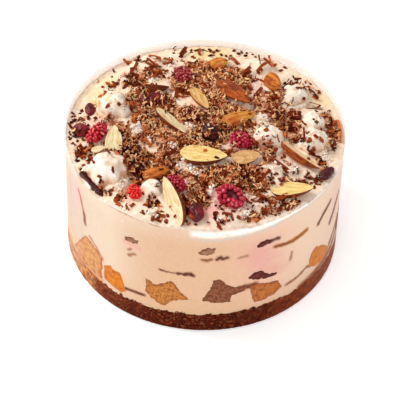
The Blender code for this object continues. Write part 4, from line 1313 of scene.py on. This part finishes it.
# chocolate shavings: a few curls and chips are modelled once, then laid over the cream
shavings = {
    "thick": 0.2 * mm,
    "tighter": 0.36,  # how much a curl narrows over a full turn
    "ragged": 0.35,
    "chipSize": (1.3, 1.0, 0.5),  # in mm, as are the three below
    "chipInset": 0.22,
    "chipPeak": 0.16,
    "knock": 0.16,
    # kinds of curl: width, radius, turn, climb, flat lead
    "threads": (
        (0.46, 1.3, 150, 0.5, 1.2), (0.42, 0.8, 230, 0.9, 0.9),
        (0.46, 0.55, 320, 1.0, 0.4), (0.42, 2.4, 80, 0.3, 0.8),
    ),
    "slivers": ((0.5, 4.0, 45, 0.2, 1.2), (0.62, 2.2, 70, 0.4, 0.6), (0.42, 6.0, 36, 0.1, 0.8)),
    "curls": (
        (1.1, 0.9, 270, 0.5, 0.8), (1.2, 1.5, 170, 0.4, 1.2),
        (1.3, 2.4, 110, 0.2, 1.4), (0.9, 0.75, 310, 0.6, 0.6),
    ),
    # beds: x, y, half sizes, how many threads (and as many slivers), curls and chips, tone
    "beds": (
        (-24.9, 10.5, 12, 15, 200, 10, 34, 0.46), (2.4, 31, 18, 15, 340, 12, 46, 0.5),
        (8.7, 14, 11, 10, 180, 2, 16, 0.55), (-22.8, -19.8, 13, 15, 220, 14, 60, 0.3),
        (28, 15, 9, 10, 60, 2, 14, 0.46), (-13.8, -5, 13, 11, 180, 2, 24, 0.54),
        (12, -31, 16, 9, 180, 10, 50, 0.32), (-2.9, -44, 5, 10, 60, 4, 26, 0.3),
        (28, -44, 12, 8, 34, 6, 40, 0.36), (28, -8, 8, 12, 26, 2, 18, 0.5),
        (53, 1, 4.5, 14, 34, 4, 26, 0.35), (-27.4, 36, 9, 6, 16, 1, 14, 0.35),
        (43, 30, 8, 9, 10, 0, 18, 0.4), (-38.7, -42, 8, 6, 16, 0, 34, 0.30),
        (0.5, -50, 24, 7, 24, 2, 70, 0.30), (47, -28, 6, 4, 6, 0, 12, 0.3),
        (2.7, -29, 12, 6, 90, 2, 18, 0.5), (30, -28, 10, 9, 44, 2, 34, 0.4),
        (-54, -4, 4.5, 14, 16, 0, 34, 0.25), (-44, 28, 6, 8, 2, 0, 6, 0.3),
        (8, -8, 12, 9, 150, 3, 34, 0.34), (-29, -22, 7, 9, 120, 2, 40, 0.12),
        (-5, -10, 8, 7, 70, 2, 16, 0.4), (34, 7, 6, 4, 28, 1, 8, 0.3), (-5, 9, 9, 7, 90, 2, 20, 0.42),
        (-40, -4, 5, 12, 20, 0, 14, 0.3), (17, -28, 5.5, 4.5, 44, 2, 22, 0.06),
        (3, -33, 4.5, 3.5, 30, 2, 15, 0.06), (37, 1, 4, 3, 16, 1, 10, 0.08), (7, 0, 5, 4, 30, 2, 15, 0.06),
        (-25, 24, 5, 3.5, 20, 2, 10, 0.06), (24, -52, 14, 4, 8, 0, 24, 0.22),
        (36, -44, 5, 5, 8, 2, 26, 0.25), (38, -33, 12, 6, 10, 2, 26, 0.3),
        (-50, -22, 4, 10, 10, 0, 26, 0.25), (23, -15, 5, 2.5, 10, 1, 4, 0.15),
        (40.5, -8, 4, 3.5, 12, 1, 14, 0.1), (-32, 29, 5, 3, 18, 1, 8, 0.12),
        (-35, -3, 4, 5, 22, 1, 8, 0.15), (-26, -33, 4, 4, 18, 1, 10, 0.1),
        (-14.5, -33.6, 4, 3.5, 18, 1, 10, 0.1), (37, 30, 4, 3.5, 6, 1, 10, 0.15),
        (48, -20, 3, 3, 6, 0, 8, 0.1), (-48, -16.4, 4, 4, 10, 1, 10, 0.15),
        (-14, -52, 4, 3, 6, 1, 10, 0.15), (-8.6, 26, 4, 3, 14, 1, 8, 0.1),
        (-19, -45, 4, 3.5, 10, 1, 10, 0.15), (-37.6, -20, 3.5, 4, 8, 1, 10, 0.15),
        (18, 3, 3.5, 2.5, 14, 1, 4, 0.1), (40, -33, 4, 3, 8, 1, 10, 0.1), (2, 53, 22, 5, 4, 0, 30, 0.3),
        (43, -14, 8, 8, 18, 2, 30, 0.4), (-4, 6, 46, 44, 330, 6, 180, 0.42),
    ),
    # patches that most of them leave bare: x, y, radius
    "thin": (
        (38.7, 17.8, 5.5), (26.3, -28, 5.5), (-32, 39, 4), (-29, 45, 3), (-8.7, 14.8, 5.5),
        (-23.4, -12.7, 6.5), (7.7, -11.2, 3.5), (30.5, -11.5, 4), (18.8, -45, 4.5), (23.7, 41.8, 3.5),
        (-13.6, 52, 4), (-0.5, -52.4, 4), (-34, 2.2, 4), (-29.9, -2.8, 3.5), (-13.3, -12.2, 3.5),
        (36.6, -28.2, 3), (12.5, -48.5, 4), (5.5, -51, 3.5),
    ),
    "spread": (-0.38, -0.28, 0.08, 0.4, 0.6, 0.74),  # tones of the threads against their bed's
    "chipTone": -0.16,  # tone of the others against their bed's
    "toneDrift": 0.1,
    "bare": 0.8,  # share of them that miss the crumbly peaks and the thin patches
    "onDollops": 0.12,  # shares that stay on the dollops and on the nuts
    "onNuts": 0.05,
    "margins": (0.2, 0.5, -0.9),  # how far a nut keeps chips and threads off, and a cherry either, in mm
    "reach": 57.8 * mm,  # none lies farther out
    "peakCrumbs": 3.2,  # white crumbs on the peaks, for each square of the radius
    "peakColours": ((255, 250, 240), (250, 226, 200)),
    # single ones that stand out: x, y, heading, length, width, tone
    "singles": {
        "chip": (
            (-33.5, 37.7, 1, 2.6, 1.2, 0.2), (-41.0, 28.6, -54, 3.8, 1.1, 0.15),
            (-36.2, 26.3, 30, 3.0, 1.1, 0.15), (-44.0, 21.7, -59, 4.5, 1.3, 0.25),
            (-40.1, 20.4, -43, 1.6, 1.1, 0.1), (-37.1, 5.4, -30, 1.8, 1.6, 0.2),
            (-41.9, 5.2, 4, 2.2, 2.1, 0.25), (-32.8, 0.3, 60, 1.9, 1.1, 0.15),
            (-57.6, 8.2, -53, 2.3, 0.8, 0.1), (-57.7, 5.9, 58, 1.3, 0.7, 0.1),
            (-58.0, 0.0, -68, 4.6, 1.1, 0.15), (-57.8, -4.3, 70, 1.3, 0.8, 0.1),
            (-57.5, -7.9, -62, 2.2, 0.9, 0.15), (-55.7, -11.5, 51, 1.5, 0.9, 0.1),
            (18.1, 55.1, 152, 1.0, 1.1, 0.1), (21.0, 54.1, 131, 1.1, 1.0, 0.1),
            (35.9, 45.2, -53, 2.5, 1.1, 0.15), (33.7, 42.0, 58, 3.6, 1.2, 0.15),
            (40.5, 22.1, 26, 3.3, 1.4, 0.2), (42.8, 18.7, -3, 1.7, 1.9, 0.15),
            (48.2, 22.3, -27, 3.1, 1.8, 0.4), (47.6, 7.5, -90, 9.5, 0.8, 0.1),
            (47.2, 0.1, -35, 1.7, 1.4, 0.25), (45.9, 1.1, -37, 1.1, 0.8, 0.15),
            (49.2, -0.6, 8, 1.0, 0.9, 0.15), (42.0, 1.4, -59, 3.7, 1.0, 0.25),
            (46.3, -10.7, -43, 2.3, 1.7, 0.15), (43.6, -12.4, -23, 1.3, 1.1, 0.15),
            (48.5, -11.4, -4, 3.0, 2.1, 0.35), (30.2, -14.3, -13, 0.8, 1.1, 0.15),
            (-45.5, -27.3, -72, 8.8, 1.4, 0.25), (-41.9, -35.6, -37, 2.2, 1.5, 0.2),
            (-39.3, -24.6, -74, 9.8, 0.9, 0.15), (-37.9, -41.3, -46, 3.0, 1.8, 0.1),
            (-34.4, -44.0, -32, 2.5, 1.6, 0.2), (-28.1, -47.5, 46, 2.7, 1.7, 0.3),
            (-22.7, -47.2, -24, 2.5, 1.7, 0.25), (-16.2, -53.1, -36, 2.5, 1.7, 0.3),
            (-24.3, -41.2, -51, 1.7, 0.9, 0.15), (-51.0, -20.2, -49, 3.3, 1.7, 0.3),
            (-4.4, -54.8, -41, 2.2, 1.5, 0.35), (14.1, -53.7, -3, 1.9, 1.5, 0.3),
            (17.3, -46.3, -45, 2.3, 1.4, 0.1), (19.1, -44.9, -30, 1.5, 0.9, 0.2),
            (41.6, -28.2, -54, 1.2, 0.9, 0.1), (43.0, -26.1, -50, 1.1, 0.9, 0.15),
            (38.4, -23.2, -58, 2.2, 1.2, 0.2), (29.9, -29.7, -44, 1.3, 1.0, 0.2),
            (-17.1, -55.4, -32, 2.4, 1.2, 0.2), (-14.2, -56.2, -45, 1.4, 1.0, 0.15),
        ),
        "slab": (
            (-35.9, 43.9, 29, 8.7, 2.4, 0.42), (-31.0, 33.1, -12, 10.5, 2.1, 0.2),
            (-25.8, 37.1, 46, 7.7, 2.1, 0.3), (-22.2, 35.9, 32, 8.8, 1.8, 0.25),
            (28.8, 46.8, -79, 10.2, 1.2, 0.5), (40.1, 36.0, 26, 4.6, 1.4, 0.15),
            (41.5, -9.8, -85, 3.9, 1.1, 0.2), (-36.8, -34.6, -66, 2.3, 1.1, 0.2),
            (-51.0, -15.3, -38, 4.7, 2.0, 0.2), (4.9, -54.2, -56, 5.9, 1.2, 0.05),
            (6.3, -57.7, -45, 3.3, 1.4, 0.3), (26.6, -45.5, 31, 3.6, 1.7, 0.1),
            (24.0, -41.3, -28, 8.6, 1.8, 0.35), (30.8, -42.4, 30, 5.8, 2.4, 0.3),
            (46.7, -29.7, -17, 4.9, 1.4, 0.05), (44.7, -14.9, -21, 7.7, 2.0, 0.1),
            (41.7, -7.6, -91, 9.4, 1.0, 0.15), (24.7, -47.8, 44, 4.6, 2.2, 0.3),
            (21.1, -53.2, 40, 4.3, 2.0, 0.5), (-19.7, -54.5, -59, 2.5, 1.8, 0.25),
            (54.0, 1.2, 76, 10.5, 2.4, 0.36), (-34.2, -46.6, -37, 4.6, 1.2, 0.4),
            (-30.4, -49.2, -32, 3.4, 1.2, 0.42),
        ),
        "hook": (
            (-42.0, 37.5, -68, 4.4, 0.7, 0.1), (23.8, 47.4, -86, 9.1, 0.6, 0.1),
            (-23.9, -51.4, -34, 2.5, 0.9, 0.2), (-18.9, -39.5, 20, 2.2, 0.8, 0.1),
            (7.0, -49.4, -48, 4.4, 0.9, 0.05),
        ),
        "ring": (
            (9.9, -53.3, 3, 3.0, 1.8, 0.3),
        ),
    },
    "singleKinds": {"slab": 9, "hook": 0, "ring": 10, "chip": 11},
    "full": 0.45,  # how many on a square millimetre hide the cream
    "large": 36,
    "seed": 12,
}


def makeCurl(width, radius, turn, climb, lead):
    # a strip whose end edge is swept up and round, tighter and tighter
    piece = add(bpy.ops.mesh.primitive_plane_add, (lead * mm, width * mm, 1), size=1)
    end = lead / 2 * mm
    edit(piece, "EDGE", lambda points: all(p.x > end * 0.99 for p in points))
    steps = max(3, round(turn / 60))
    bpy.ops.mesh.spin(steps=steps, angle=math.radians(turn), center=(end, 0, radius * mm), axis=(0, -1, 0))
    leave()
    points = corners(piece)
    for i, (along, across, up) in enumerate(points):
        curled = along > end or up > 0.01 * mm
        share = math.atan2(along - end, radius * mm - up) / (2 * math.pi) % 1 if curled else 0
        tight = 1 - shavings["tighter"] * share
        across = across * (1 - shavings["ragged"] * swirl(along / mm, up / mm)) + climb * mm * share
        points[i] = end + (along - end) * tight, across, up * tight
    setCorners(piece, points)
    applyModifier(piece, "SOLIDIFY", thickness=shavings["thick"], offset=0)
    points = corners(piece)
    setCorners(piece, points - [points[:, 0].mean(), points[:, 1].mean(), points[:, 2].min()])
    return shapeOf(piece)


def makeChip(seed):
    # a broken crumb of chocolate: a flat block with its corners knocked about
    draw = random.Random(seed)
    size, knock = shavings["chipSize"], shavings["knock"]
    piece = add(bpy.ops.mesh.primitive_cube_add, size, size=1, location=(0, 0, size[2] / 2))
    edit(piece, "FACE", lambda points: all(p.z > 0.8 * size[2] for p in points))
    bpy.ops.mesh.inset(thickness=shavings["chipInset"])
    lean = draw.uniform(-0.1, 0.1), draw.uniform(-0.1, 0.1)
    bpy.ops.transform.translate(value=(*lean, shavings["chipPeak"]))
    leave()
    points = corners(piece)
    for i in range(len(points)):
        points[i] += [draw.uniform(-knock, knock) for _ in range(3)]
    setCorners(piece, points * mm)
    return shapeOf(piece)


shapes = [makeCurl(*curl) for curl in shavings["threads"] + shavings["slivers"] + shavings["curls"]]
shapes += [makeChip(seed) for seed in range(4)]
threadKinds = range(len(shavings["threads"]))
sliverKinds = range(threadKinds.stop, threadKinds.stop + len(shavings["slivers"]))
curlKinds = range(sliverKinds.stop, sliverKinds.stop + len(shavings["curls"]))
chipKinds = range(curlKinds.stop, len(shapes))

# the grid that keeps how high the heap stands, and the most that one shaving adds to it
ground = {"cell": 0.5 * mm, "half": 60 * mm, "step": 0.7 * mm, "pile": 0.45 * mm}


def surveyGround(pieces):
    # height of whatever lies uppermost over a fine grid
    points, faces = gathered(shapeIn(piece) for piece in pieces)
    tree = BVHTree.FromPolygons(points.tolist(), faces)
    steps = int(2 * ground["half"] / ground["cell"]) + 1
    heights = np.zeros((steps, steps))
    for i in range(steps):
        for j in range(steps):
            x, y = (step * ground["cell"] - ground["half"] for step in (i, j))
            if math.hypot(x, y) < ground["half"]:
                hit = tree.ray_cast(Vector((x, y, 0.1)), Vector((0, 0, -1)))[0]
                heights[i, j] = hit.z if hit else 0
    return heights


def cellOf(x, y):
    steps = [int((v + ground["half"]) / ground["cell"] + 0.5) for v in (x, y)]
    return tuple(between(step, 0, len(heights) - 1) for step in steps)


def layShape(kind, x, y, heading, size, tone, draw, loose=0.35, sink=0.12 * mm):
    # rests one shaving on what lies below it, tilted with the slope, and raises the ground there
    along = Vector((math.cos(heading), math.sin(heading)))
    reach = 0.5 * float(np.ptp(shapes[kind][0][:, 0])) * size[0]
    cells = [cellOf(x + along.x * reach * s, y + along.y * reach * s) for s in (-0.9, -0.45, 0, 0.45, 0.9)]
    under = [heights[c] for c in cells]
    slope = between((under[-1] - under[0]) / max(1.8 * reach, mm), -0.7, 0.7)
    base = 0.55 * max(under) + 0.45 * sum(under) / len(under) - sink
    tilt = Euler((draw.gauss(0, loose), -math.atan(slope) + draw.gauss(0, 0.16), heading))
    matrix = Matrix.LocRotScale(Vector((x, y, base)), tilt, Vector(size))
    for cell in cells:
        heights[cell] = max(heights[cell], min(heights[cell] + ground["step"], base + ground["pile"]))
    return kind, matrix, tone


def onTopping(x, y, margin, places):
    # the first nut or berry that the point lies on, with the outlines shrunk or grown by the margin
    for spec in places:
        away = Vector((x / mm - spec[0], y / mm - spec[1]))
        away.rotate(Matrix.Rotation(-math.radians(spec[2]), 2))
        if math.hypot(away.x / (spec[3] / 2 + margin), away.y / (spec[4] / 2 + margin)) < 1:
            return spec
    return None


def covered(x, y, thread, draw):
    # whether a shaving may lie there: few do on the nuts, more on the dark cherries
    chipMargin, threadMargin, cherryMargin = shavings["margins"]
    nut = onTopping(x, y, threadMargin if thread else chipMargin, almonds["places"] + raspberries["places"])
    cherry = onTopping(x, y, cherryMargin, cherries["places"])
    return draw.random() < (shavings["onNuts"] if nut else cherry[7] if cherry else 1)


def inDollop(x, y, bare=False):
    return any(
        math.hypot((x / mm - spec[0]) / spec[2], (y / mm - spec[1]) / spec[3]) < (spec[5] if bare else 1)
        for spec in cake["dollops"]
    )


def onPatch(x, y):
    patches = cake["lumps"] + shavings["thin"]
    return any(math.hypot(x / mm - spec[0], y / mm - spec[1]) < spec[2] for spec in patches)


def clearSpot(x, y, reach):
    # whether a large shaving has room: clear of the wall, the toppings, the dollops and the strips
    if math.hypot(x, y) > wallRadius(cake["creamEdge"]) - cake["gap"] - reach - 0.5 * mm:
        return False
    toppings = almonds["places"] + raspberries["places"] + cherries["places"]
    if onTopping(x, y, reach / mm, toppings) or inDollop(x, y):
        return False
    for angle, arc, _, thickness, _ in rimStrips["places"]:
        middle = wallRadius(cake["creamEdge"]) - cake["film"] - rimStrips["inset"]
        for share in (-0.5, 0, 0.5):
            place = onSide(math.radians(angle + share * arc), middle, 0)
            if math.hypot(x - place.x, y - place.y) < reach + arc * mm / 3 + thickness * mm:
                return False
    return True


def fitTo(kind, length, width):
    # how much a shape is stretched to that length and width
    along, across = np.ptp(shapes[kind][0][:, :2], axis=0)
    return length / along, width / across


def layLarge():
    # the long curls, at the places that the solids have them
    draw, looks = random.Random(shavings["seed"]), random.Random(5)
    taken, laid = [], []
    while len(taken) < shavings["large"]:
        length, width = draw.uniform(4.5 * mm, 8 * mm), draw.uniform(1.6 * mm, 2.4 * mm)
        turn, out = draw.uniform(0, 2 * math.pi), math.sqrt(draw.random())
        point = onSide(turn, out * (wallRadius(cake["creamEdge"]) - cake["gap"]), 0).xy
        heading = draw.uniform(0, math.pi)
        near = any((point - other).length < 0.45 * length + reach for other, reach in taken)
        if near or not clearSpot(*point, length / 2 + 0.8 * mm):
            continue
        taken.append((point, 0.45 * length))
        kind = looks.choice(curlKinds)
        size = (*fitTo(kind, length, width), 1.1)
        laid.append(layShape(kind, *point, heading, size, looks.uniform(0.08, 0.42), looks))
    return laid


def laySmall(kinds, column, seed, loose=0.35):
    # one kind of shaving in every bed, as many as this column of the bed's row says
    draw = random.Random(seed)
    laid = []
    for bed in shavings["beds"]:
        x, y, halfX, halfY = bed[:4]
        for _ in range(bed[column]):
            turn, out = draw.uniform(0, 2 * math.pi), draw.random() ** 0.55
            placeX = (x + halfX * out * math.cos(turn)) * mm
            placeY = (y + halfY * out * math.sin(turn)) * mm
            heading, kind = draw.uniform(0, 2 * math.pi), draw.choice(kinds)
            scale = draw.uniform(0.7, 1.25)
            size = (scale * draw.uniform(0.8, 1.3), scale * draw.uniform(0.8, 1.2), scale)
            shift = draw.choice(shavings["spread"]) if column == 4 else shavings["chipTone"]
            tone = between(bed[7] + shift + draw.gauss(0, shavings["toneDrift"]))
            outside = math.hypot(placeX, placeY) > shavings["reach"]
            if outside or not covered(placeX, placeY, column == 4, draw):
                continue
            if inDollop(placeX, placeY, True) and draw.random() > shavings["onDollops"]:
                continue
            if onPatch(placeX, placeY) and draw.random() < shavings["bare"]:
                continue
            laid.append(layShape(kind, placeX, placeY, heading, size, tone, draw, loose))
    return laid


def laySingles(name):
    draw = random.Random(8)
    laid = []
    for x, y, heading, length, width, tone in shavings["singles"][name]:
        kind = shavings["singleKinds"][name] + (draw.randrange(3) if name == "chip" else 0)
        size = (*fitTo(kind, length * mm, width * mm), 0.9)
        laid.append(layShape(kind, x * mm, y * mm, math.radians(heading), size, tone, draw, 0.1))
    return laid


def layPeaks(kinds):
    # white crumbs of cream on the peaks
    draw = random.Random(61)
    laid = []
    for x, y, radius in cake["lumps"]:
        for _ in range(round(shavings["peakCrumbs"] * radius**2)):
            turn, out = draw.uniform(0, 2 * math.pi), 1.15 * radius * draw.random() ** 0.6
            place = Vector((x + out * math.cos(turn), y + out * math.sin(turn))) * mm
            heading, kind, scale = draw.uniform(0, 2 * math.pi), draw.choice(kinds), draw.uniform(0.4, 0.85)
            if not onTopping(*place, 0, almonds["places"] + raspberries["places"]):
                laid.append(layShape(kind, *place, heading, (scale, scale, 1.5 * scale), 0.5, draw, 0.5))
    return laid


def noteCrumbs(piece, laid):
    # how thickly the shavings lie over each corner of the cream
    steps = int(2 * ground["half"] / mm)
    edges = np.linspace(-ground["half"], ground["half"], steps + 1)
    places = np.array([matrix.translation[:2] for _, matrix, _ in laid])
    count = np.histogram2d(places[:, 0], places[:, 1], (edges, edges))[0]
    for _ in range(3):
        count = (count + sum(np.roll(count, step, axis) for axis in (0, 1) for step in (1, -1))) / 5
    points = corners(piece)
    cells = np.clip(((points[:, :2] + ground["half"]) / mm).astype(int), 0, steps - 1)
    thick = np.clip(count[cells[:, 0], cells[:, 1]] / shavings["full"], 0, 1)
    note(piece, "crumbs", np.where(points[:, 2] > cake["creamEdge"] - 3 * mm, thick, 0))


def scatter(name, laid, material, nodes=()):
    # one piece of all the shavings of a kind
    parts, tones = [], []
    for kind, matrix, tone in laid:
        points, faces = shapes[kind]
        parts.append((points @ np.array(matrix.to_3x3()).T + np.array(matrix.translation), faces))
        tones += [tone] * len(points)
    piece = joined(name, parts)
    note(piece, "tone", tones)
    return finish(piece, name, [material], nodes, 35)


heights = surveyGround([creamPiece, *almondPieces, *berryPieces, *cherryPieces, *stripPieces])
laid = {
    "large": layLarge() + laySingles("slab"),
    "curled": laySmall(curlKinds, 5, 31) + laySingles("ring"),
    "broken": laySmall(chipKinds, 6, 32) + laySingles("chip"),
    "slivers": laySmall(sliverKinds, 4, 34, 1.0),
    "grated": laySmall(threadKinds, 4, 33, 1.2) + laySingles("hook"),
}
peakMaterial = makeMaterial(
    "crumbs of cream", cloudy(*shavings["peakColours"], 600), Roughness=0.8, Specular_IOR_Level=0.1,
)
scatter("cream_crumbs", layPeaks(chipKinds), peakMaterial, ("cream",))
for name, group in laid.items():
    piece = scatter(f"shavings_{name}", group, chocolateMaterial, ("cream",))
    print(piece.name, sum(len(face.vertices) - 2 for face in piece.data.polygons), "triangles")
noteCrumbs(creamPiece, laid["slivers"] + laid["grated"])


# floor, light and camera
studio = {
    "floor": ((252, 251, 250), (255, 255, 255)),
    "floorGlow": 0.42,
    "skyStrength": 0.5,
    # place, size, power
    "lamps": (
        ((-0.50, 0.20, 0.62), 0.30, 4.4),
        ((-0.20, -0.75, 0.45), 0.70, 1.9),
        ((0.60, -0.20, 0.50), 0.60, 0.6),
    ),
}

bpy.ops.mesh.primitive_plane_add(size=6)
floor = bpy.context.object
floor.name = "floor"
floor.data.materials.append(
    makeMaterial(
        "pale floor", cloudy(*studio["floor"], 3), Roughness=0.9, Emission_Color=(1, 1, 1, 1),
        Emission_Strength=studio["floorGlow"],
    )
)

world = bpy.data.worlds.new("studio")
world.use_nodes = True
sky = world.node_tree.nodes["Background"]
sky.inputs["Color"].default_value = (1, 1, 1, 1)
sky.inputs["Strength"].default_value = studio["skyStrength"]
bpy.context.scene.world = world

for place, size, power in studio["lamps"]:
    bpy.ops.object.light_add(type="AREA", location=place)
    lamp = bpy.context.object
    lamp.data.size = size
    lamp.data.energy = power
    lamp.rotation_euler = (Vector((0, 0, 0.04)) - Vector(place)).to_track_quat("-Z", "Y").to_euler()

view = {
    "place": (-1.277 * mm, -367.83 * mm, 380.70 * mm),
    "down": 44.668,  # degrees that it looks down
    "roll": 1.815,
    "lens": 102.3,
}
bpy.ops.object.camera_add(location=view["place"])
camera = bpy.context.object
tilt, roll = math.radians(90 - view["down"]), math.radians(view["roll"])
camera.rotation_euler = (Matrix.Rotation(tilt, 4, "X") @ Matrix.Rotation(roll, 4, "Z")).to_euler()
camera.data.lens = view["lens"]
camera.data.sensor_width = 36
camera.data.clip_start = 0.01
bpy.context.scene.camera = camera

print("scene ready")
